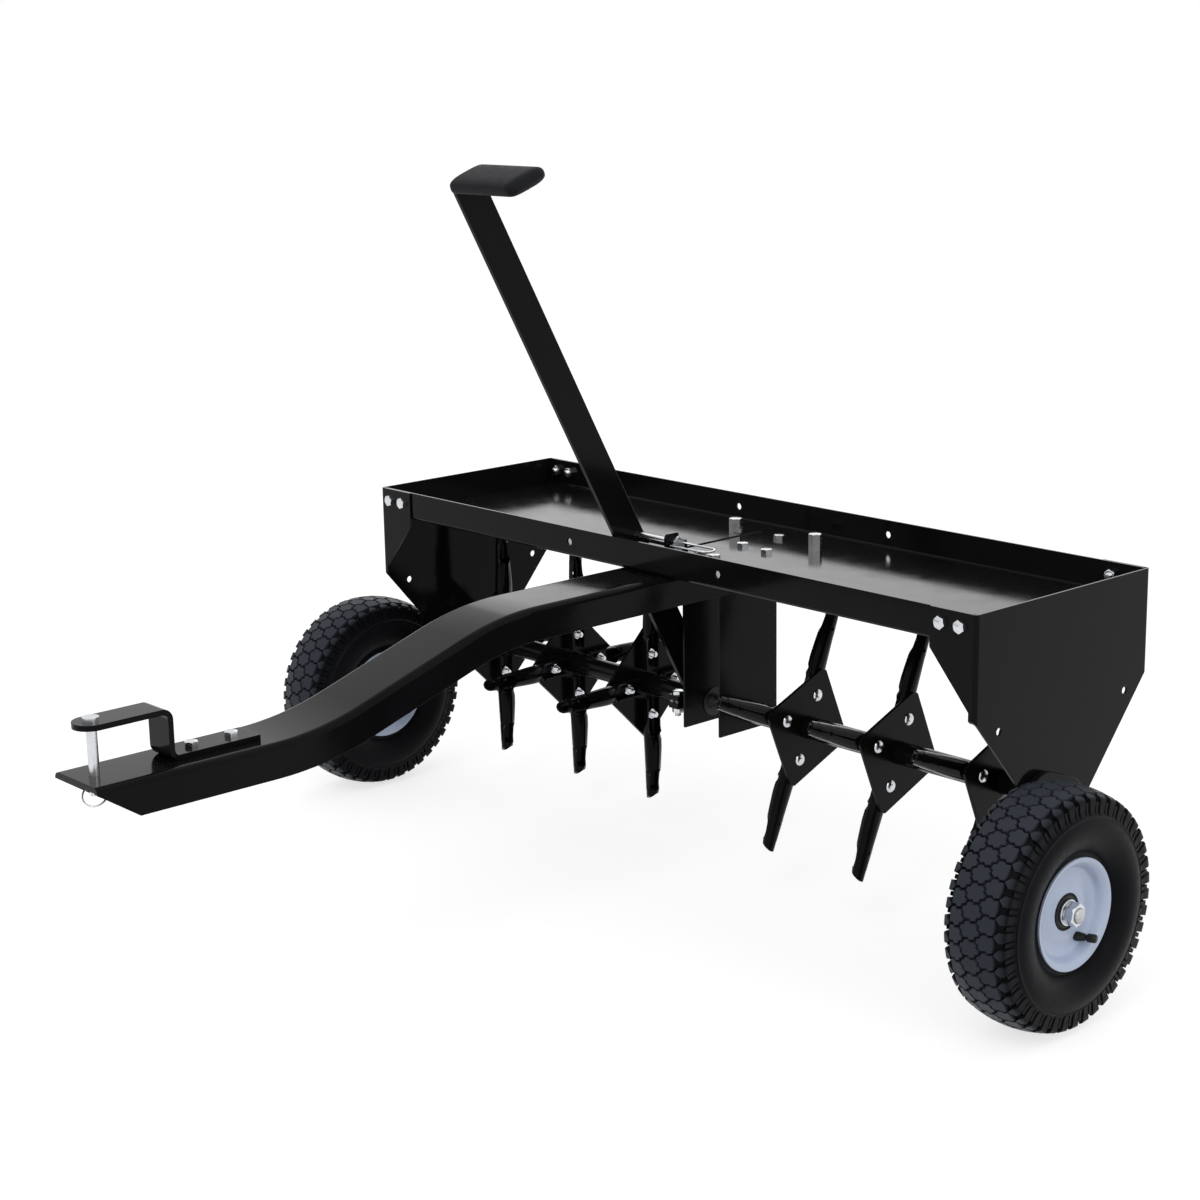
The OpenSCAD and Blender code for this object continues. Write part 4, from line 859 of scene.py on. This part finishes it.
# lengths in metres; column and gap belong to the tread's lattice, step is the jog in a block's side
tyreLook = {
    "radius": 0.130, "halfWidth": 0.044, "crown": 0.108, "groove": 0.0050, "around": 168,
    "wall": 0.030, "wallMiddle": 0.040, "wallArc": (-56, 23, 6), "wallIn": 0.0008,
    "flatEdge": 0.031, "flatSteps": 8,
    "lugs": 42, "column": 0.0205, "gap": 0.0015, "cornerIn": 1.15, "step": 0.0012, "stepAt": (0.42, 0.58),
    "edge": 0.0272, "wideRib": 0.0112, "thinRib": 0.0052, "thinRibHeight": 0.75, "thinRibFrom": 5,
    "ribFlare": 0.0007,
}
# a tread block's foot, shoulder and top: height over the groove, growth of its outline
lugLevels = [(-0.0015, 1.08), (0.0035, 1.0175), (0.0050, 0.975)]
# rib over the shoulder: radius and x of its outside, the same of its foot, share of its width
ribPath = [
    (0.1262, 0.0284, 0.1206, 0.0284, 0.12), (0.1256, 0.0308, 0.1198, 0.0308, 0.62),
    (0.1249, 0.0330, 0.1185, 0.0330, 1.00), (0.1242, 0.0350, 0.1175, 0.0340, 1.00),
    (0.1229, 0.0370, 0.1165, 0.0342, 0.97), (0.1200, 0.0380, 0.1150, 0.0344, 0.92),
    (0.1155, 0.0382, 0.1125, 0.0352, 0.86), (0.1110, 0.0384, 0.1100, 0.0360, 0.80),
    (0.1076, 0.0389, 0.1075, 0.0369, 0.72), (0.1056, 0.0394, 0.1056, 0.0382, 0.60),
]
# the carcass as (radius, x): its bead, and from the fine ring on the side wall up to the tread
beadPath = [(0.0525, 0.0276), (0.0555, 0.0309), (0.0606, 0.0318)]
shoulderPath = [
    (0.1030, 0.0407), (0.1037, 0.0411), (0.1044, 0.0406), (0.1050, 0.0396), (0.1059, 0.0387),
    (0.1078, 0.0375), (0.1103, 0.0365), (0.1128, 0.0356), (0.1153, 0.0348), (0.1180, 0.0343),
    (0.1192, 0.0330),
]


def crownRadius(s, x):
    # outside radius of the tread at distance x from the tyre's middle
    c = s["crown"]
    return s["radius"] - c + math.sqrt(max(c * c - x * x, 0))


def carcassProfile(s):
    # (radius, x) from the outer bead over the tread to the inner bead
    middle, x0 = s["radius"] - s["wallMiddle"], s["halfWidth"] - s["wall"]
    points = list(beadPath)
    for a in range(*s["wallArc"]):
        t = math.radians(a)
        points.append((middle + s["wall"] * math.sin(t), x0 + (s["wall"] - s["wallIn"]) * math.cos(t)))
    points += shoulderPath
    for i in range(s["flatSteps"] + 1):
        x = s["flatEdge"] * (1 - i / s["flatSteps"])
        points.append((crownRadius(s, x) - s["groove"], x))
    return points + [(r, -x) for r, x in reversed(points[:-1])]


def spinAboutX(bm, profile, steps):
    rings = []
    for i in range(steps):
        t = 2 * math.pi * i / steps
        rings.append([bm.verts.new((x, r * math.cos(t), r * math.sin(t))) for r, x in profile])
    for a, b in zip(rings, rings[1:] + rings[:1]):
        ringFaces(bm, a, b)


def addLug(bm, s, outline):
    # a block on the tread with a flared foot, its outline in (across, around) metres
    middleX = sum(u for u, v in outline) / len(outline)
    middleArc = sum(v for u, v in outline) / len(outline)
    rings = []
    for height, grow in lugLevels:
        ring = []
        for u, v in outline:
            x, arc = middleX + (u - middleX) * grow, middleArc + (v - middleArc) * grow
            r, t = crownRadius(s, x) - s["groove"] + height, arc / s["radius"]
            ring.append(bm.verts.new((x, -r * math.sin(t), r * math.cos(t))))
        rings.append(ring)
    for a, b in zip(rings, rings[1:]):
        ringFaces(bm, a, b)
    bm.faces.new(rings[-1])
    bm.faces.new(list(reversed(rings[0])))


def blockOutline(s, x, shift):
    # one hexagon of the tread's lattice, each side stepped in the middle, cut off at the shoulder
    reach, half = s["column"] * 2 / 3, math.pi * s["radius"] / s["lugs"]
    corners = [(reach, 0), (reach / 2, half), (-reach / 2, half),
               (-reach, 0), (-reach / 2, -half), (reach / 2, -half)]
    pushes = (s["step"] - s["gap"], -s["step"] - s["gap"])
    points = []
    for k, (au, av) in enumerate(corners):
        du, dv = corners[(k + 1) % 6][0] - au, corners[(k + 1) % 6][1] - av
        size = math.hypot(du, dv)
        shrink = 1 - s["cornerIn"] * s["gap"] / math.hypot(au, av)
        points.append((x + au * shrink, shift + av * shrink))
        for share, push in zip(s["stepAt"], pushes):
            u = x + au + du * share + push * dv / size
            v = shift + av + dv * share - push * du / size
            points.append((u, v))
    return [(max(-s["edge"], min(s["edge"], u)), v) for u, v in points]


def shoulderRib(bm, s, side, width, height, path):
    # a rib from the tread's edge down the shoulder, which ends at the fine ring
    rows, flare = [], s["ribFlare"]
    for r, x, footR, footX, share in path:
        outR, outX = footR + (r - footR) * height, footX + (x - footX) * height
        w = width * share / 2
        row = []
        foot, crest = (footR, footX), (outR, outX)
        for v, (rr, xx) in ((-w - flare, foot), (-w, crest), (w, crest), (w + flare, foot)):
            t = v / s["radius"]
            row.append(bm.verts.new((side * xx, -rr * math.sin(t), rr * math.cos(t))))
        rows.append(row)
    for a, b in zip(rows, rows[1:]):
        for j in range(3):
            bm.faces.new((a[j], a[j + 1], b[j + 1], b[j]))
    for row in (rows[0], rows[-1]):
        bm.faces.new(row)


def roundTree():
    # repeats a shape round the wheel's axle and joins it to the carcass
    tree = bpy.data.node_groups.new("repeatRoundAxle", "GeometryNodeTree")
    face = tree.interface
    face.new_socket("Carcass", in_out="INPUT", socket_type="NodeSocketGeometry")
    face.new_socket("Lug shape", in_out="INPUT", socket_type="NodeSocketObject")
    face.new_socket("Lug count", in_out="INPUT", socket_type="NodeSocketInt")
    face.new_socket("Wheel middle", in_out="INPUT", socket_type="NodeSocketVector")
    face.new_socket("Rubber", in_out="INPUT", socket_type="NodeSocketMaterial")
    face.new_socket("Tyre", in_out="OUTPUT", socket_type="NodeSocketGeometry")
    n, link = tree.nodes, tree.links.new
    start, end = n.new("NodeGroupInput"), n.new("NodeGroupOutput")
    info = n.new("GeometryNodeObjectInfo")
    info.transform_space = "ORIGINAL"
    link(start.outputs["Lug shape"], info.inputs["Object"])
    dots = n.new("GeometryNodePoints")
    link(start.outputs["Lug count"], dots.inputs["Count"])
    index = n.new("GeometryNodeInputIndex")
    share, full = n.new("ShaderNodeMath"), n.new("ShaderNodeMath")
    share.operation, full.operation = "DIVIDE", "MULTIPLY"
    link(index.outputs[0], share.inputs[0])
    link(start.outputs["Lug count"], share.inputs[1])
    link(share.outputs[0], full.inputs[0])
    full.inputs[1].default_value = 2 * math.pi
    turn = n.new("FunctionNodeAxisAngleToRotation")
    turn.inputs["Axis"].default_value = (1, 0, 0)
    link(full.outputs[0], turn.inputs["Angle"])
    put = n.new("GeometryNodeInstanceOnPoints")
    link(dots.outputs[0], put.inputs["Points"])
    link(info.outputs["Geometry"], put.inputs["Instance"])
    link(turn.outputs["Rotation"], put.inputs["Rotation"])
    real = n.new("GeometryNodeRealizeInstances")
    link(put.outputs["Instances"], real.inputs["Geometry"])
    join, move = n.new("GeometryNodeJoinGeometry"), n.new("GeometryNodeTransform")
    link(real.outputs["Geometry"], join.inputs[0])
    link(start.outputs["Carcass"], join.inputs[0])
    link(join.outputs[0], move.inputs["Geometry"])
    link(start.outputs["Wheel middle"], move.inputs["Translation"])
    paint = n.new("GeometryNodeSetMaterial")
    link(move.outputs[0], paint.inputs["Geometry"])
    link(start.outputs["Rubber"], paint.inputs["Material"])
    link(paint.outputs[0], end.inputs["Tyre"])
    return tree


roundAxle = roundTree()


def makeTyre(side, s):
    node = "tyre_" + side
    carcass = bmesh.new()
    spinAboutX(carcass, carcassProfile(s), s["around"])
    bmesh.ops.recalc_face_normals(carcass, faces=carcass.faces)
    obj = linked(node + "_piece", meshFrom(node + "_piece", carcass, smoothUnder["carcass"]))
    lug = bmesh.new()
    pitch = 2 * math.pi * s["radius"] / s["lugs"]
    addLug(lug, s, blockOutline(s, 0.0, 0.0))
    for way in (-1, 1):
        addLug(lug, s, blockOutline(s, way * s["column"], pitch / 2))
        shoulderRib(lug, s, way, s["wideRib"], 1.0, ribPath)
    bmesh.ops.recalc_face_normals(lug, faces=lug.faces)
    # thin ribs stand half a pitch round from the wide ones
    thin = bmesh.new()
    for way in (-1, 1):
        shoulderRib(thin, s, way, s["thinRib"], s["thinRibHeight"], ribPath[s["thinRibFrom"]:])
    bmesh.ops.rotate(thin, verts=thin.verts, matrix=Matrix.Rotation(math.pi / s["lugs"], 3, "X"))
    bmesh.ops.recalc_face_normals(thin, faces=thin.faces)
    extra = meshFrom("thinRibs", thin, smoothUnder["thinRibs"])
    lug.from_mesh(extra)
    bpy.data.meshes.remove(extra)
    shape = linked(node + "_lug", meshFrom(node + "_lug", lug, smoothUnder["lugs"]))
    mod = obj.modifiers.new("tread", "NODES")
    mod.node_group = roundAxle
    setInputs(mod, {"Lug shape": shape, "Lug count": s["lugs"], "Wheel middle": list(wheelCentre(side)),
                    "Rubber": finishOf(node)})
    settle(obj)
    bpy.data.objects.remove(shape)
    smoothOver(obj.data, smoothUnder["tyre"])
    finishPiece(obj, node)


# outline as (radius, distance from the foot), the way it leans, and its foot from the box's corner
valveLook = {
    "outline": [
        (0.0030, 0.0000), (0.0044, 0.0004), (0.0045, 0.0075), (0.0052, 0.0080), (0.0050, 0.0110),
        (0.0042, 0.0150), (0.0040, 0.0170), (0.0031, 0.0178), (0.0031, 0.0190), (0.0044, 0.0197),
        (0.0047, 0.0206), (0.0047, 0.0262), (0.0044, 0.0282), (0.0037, 0.0291), (0.0022, 0.0295)],
    "around": 24, "lean": (0.953, 0.300, 0.034), "footY": 0.0052, "footZ": 0.0066,
}


def makeValve(side, s):
    # rubber stem with a wide foot, a waist and a cap, which leans to the rear
    node = "valve_" + side
    lo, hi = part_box(node)
    out = 1 if side == "right" else -1
    bm = bmesh.new()
    addLathe(bm, s["outline"], s["around"])
    lean = Vector((out * s["lean"][0], s["lean"][1], s["lean"][2]))
    foot = Vector((lo.x if out > 0 else hi.x, lo.y + s["footY"], lo.z + s["footZ"]))
    move = Matrix.Translation(foot) @ lean.to_track_quat("Z", "Y").to_matrix().to_4x4()
    bmesh.ops.transform(bm, matrix=move, verts=bm.verts)
    bmesh.ops.recalc_face_normals(bm, faces=bm.faces)
    finishPiece(linked(node + "_piece", meshFrom(node + "_piece", bm, smoothUnder["valve"])), node)


for side in ("left", "right"):
    makeTyre(side, tyreLook)
    makeValve(side, valveLook)
    print("wheel made:", side)

# Grip

gripLook = {"width": 0.055, "thick": 0.0190, "square": 3.2, "startRound": 0.003, "endRound": 0.011,
            "startsIn": 0.007, "further": 0.013, "flatter": 8, "rings": 32, "around": 40,
            "leastHalf": 0.0004}


def roundedBy(distance, radius):
    # how far a rounded end stands back from the full size
    short = min(max(radius - distance, 0.0), radius)
    return radius - math.sqrt(radius * radius - short * short)


def makeGrip(s):
    # a flat soft slab along X with rounded edges, its outer end rounded more
    lo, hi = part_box("lever_grip")
    pivot, mid = jointPlace("lift_lever"), (lo + hi) / 2
    lean = math.atan2(pivot.y - mid.y, mid.z - pivot.z)
    along = (mid - pivot).dot(Vector((0, -math.sin(lean), math.cos(lean))))
    bm = bmesh.new()
    rings, start, end = [], lo.x + s["startsIn"], hi.x + s["further"]
    for k in range(s["rings"] + 1):
        # rings lie closer together near both ends
        x = start + (end - start) * (0.5 - 0.5 * math.cos(math.pi * k / s["rings"]))
        inset = max(roundedBy(x - start, s["startRound"]), roundedBy(end - x, s["endRound"]))
        half, thick = s["width"] / 2 - inset, max(s["thick"] / 2 - inset, s["leastHalf"])
        ring = []
        for i in range(s["around"]):
            t, e = 2 * math.pi * i / s["around"], 2 / s["square"]
            c, q = math.cos(t), math.sin(t)
            u = math.copysign(abs(c) ** e, c) * half
            v = math.copysign(abs(q) ** e, q) * thick
            ring.append(bm.verts.new((x, u, v)))
        rings.append(ring)
    for a, b in zip(rings, rings[1:]):
        ringFaces(bm, a, b)
    bm.faces.new(rings[0])
    bm.faces.new(rings[-1])
    bmesh.ops.recalc_face_normals(bm, faces=bm.faces)
    turn, level = Matrix.Rotation(lean, 4, "X"), Matrix.Rotation(-math.radians(s["flatter"]), 4, "X")
    move = Matrix.Translation((0, pivot.y, pivot.z)) @ turn @ Matrix.Translation((0, 0, along)) @ level
    bmesh.ops.transform(bm, matrix=move, verts=bm.verts)
    obj = linked("lever_grip_piece", meshFrom("lever_grip_piece", bm, smoothUnder["grip"]))
    finishPiece(obj, "lever_grip")


makeGrip(gripLook)
print("grip made")

print("CAD nodes still shown:", [n for n in nodes if not nodes[n].hide_render])
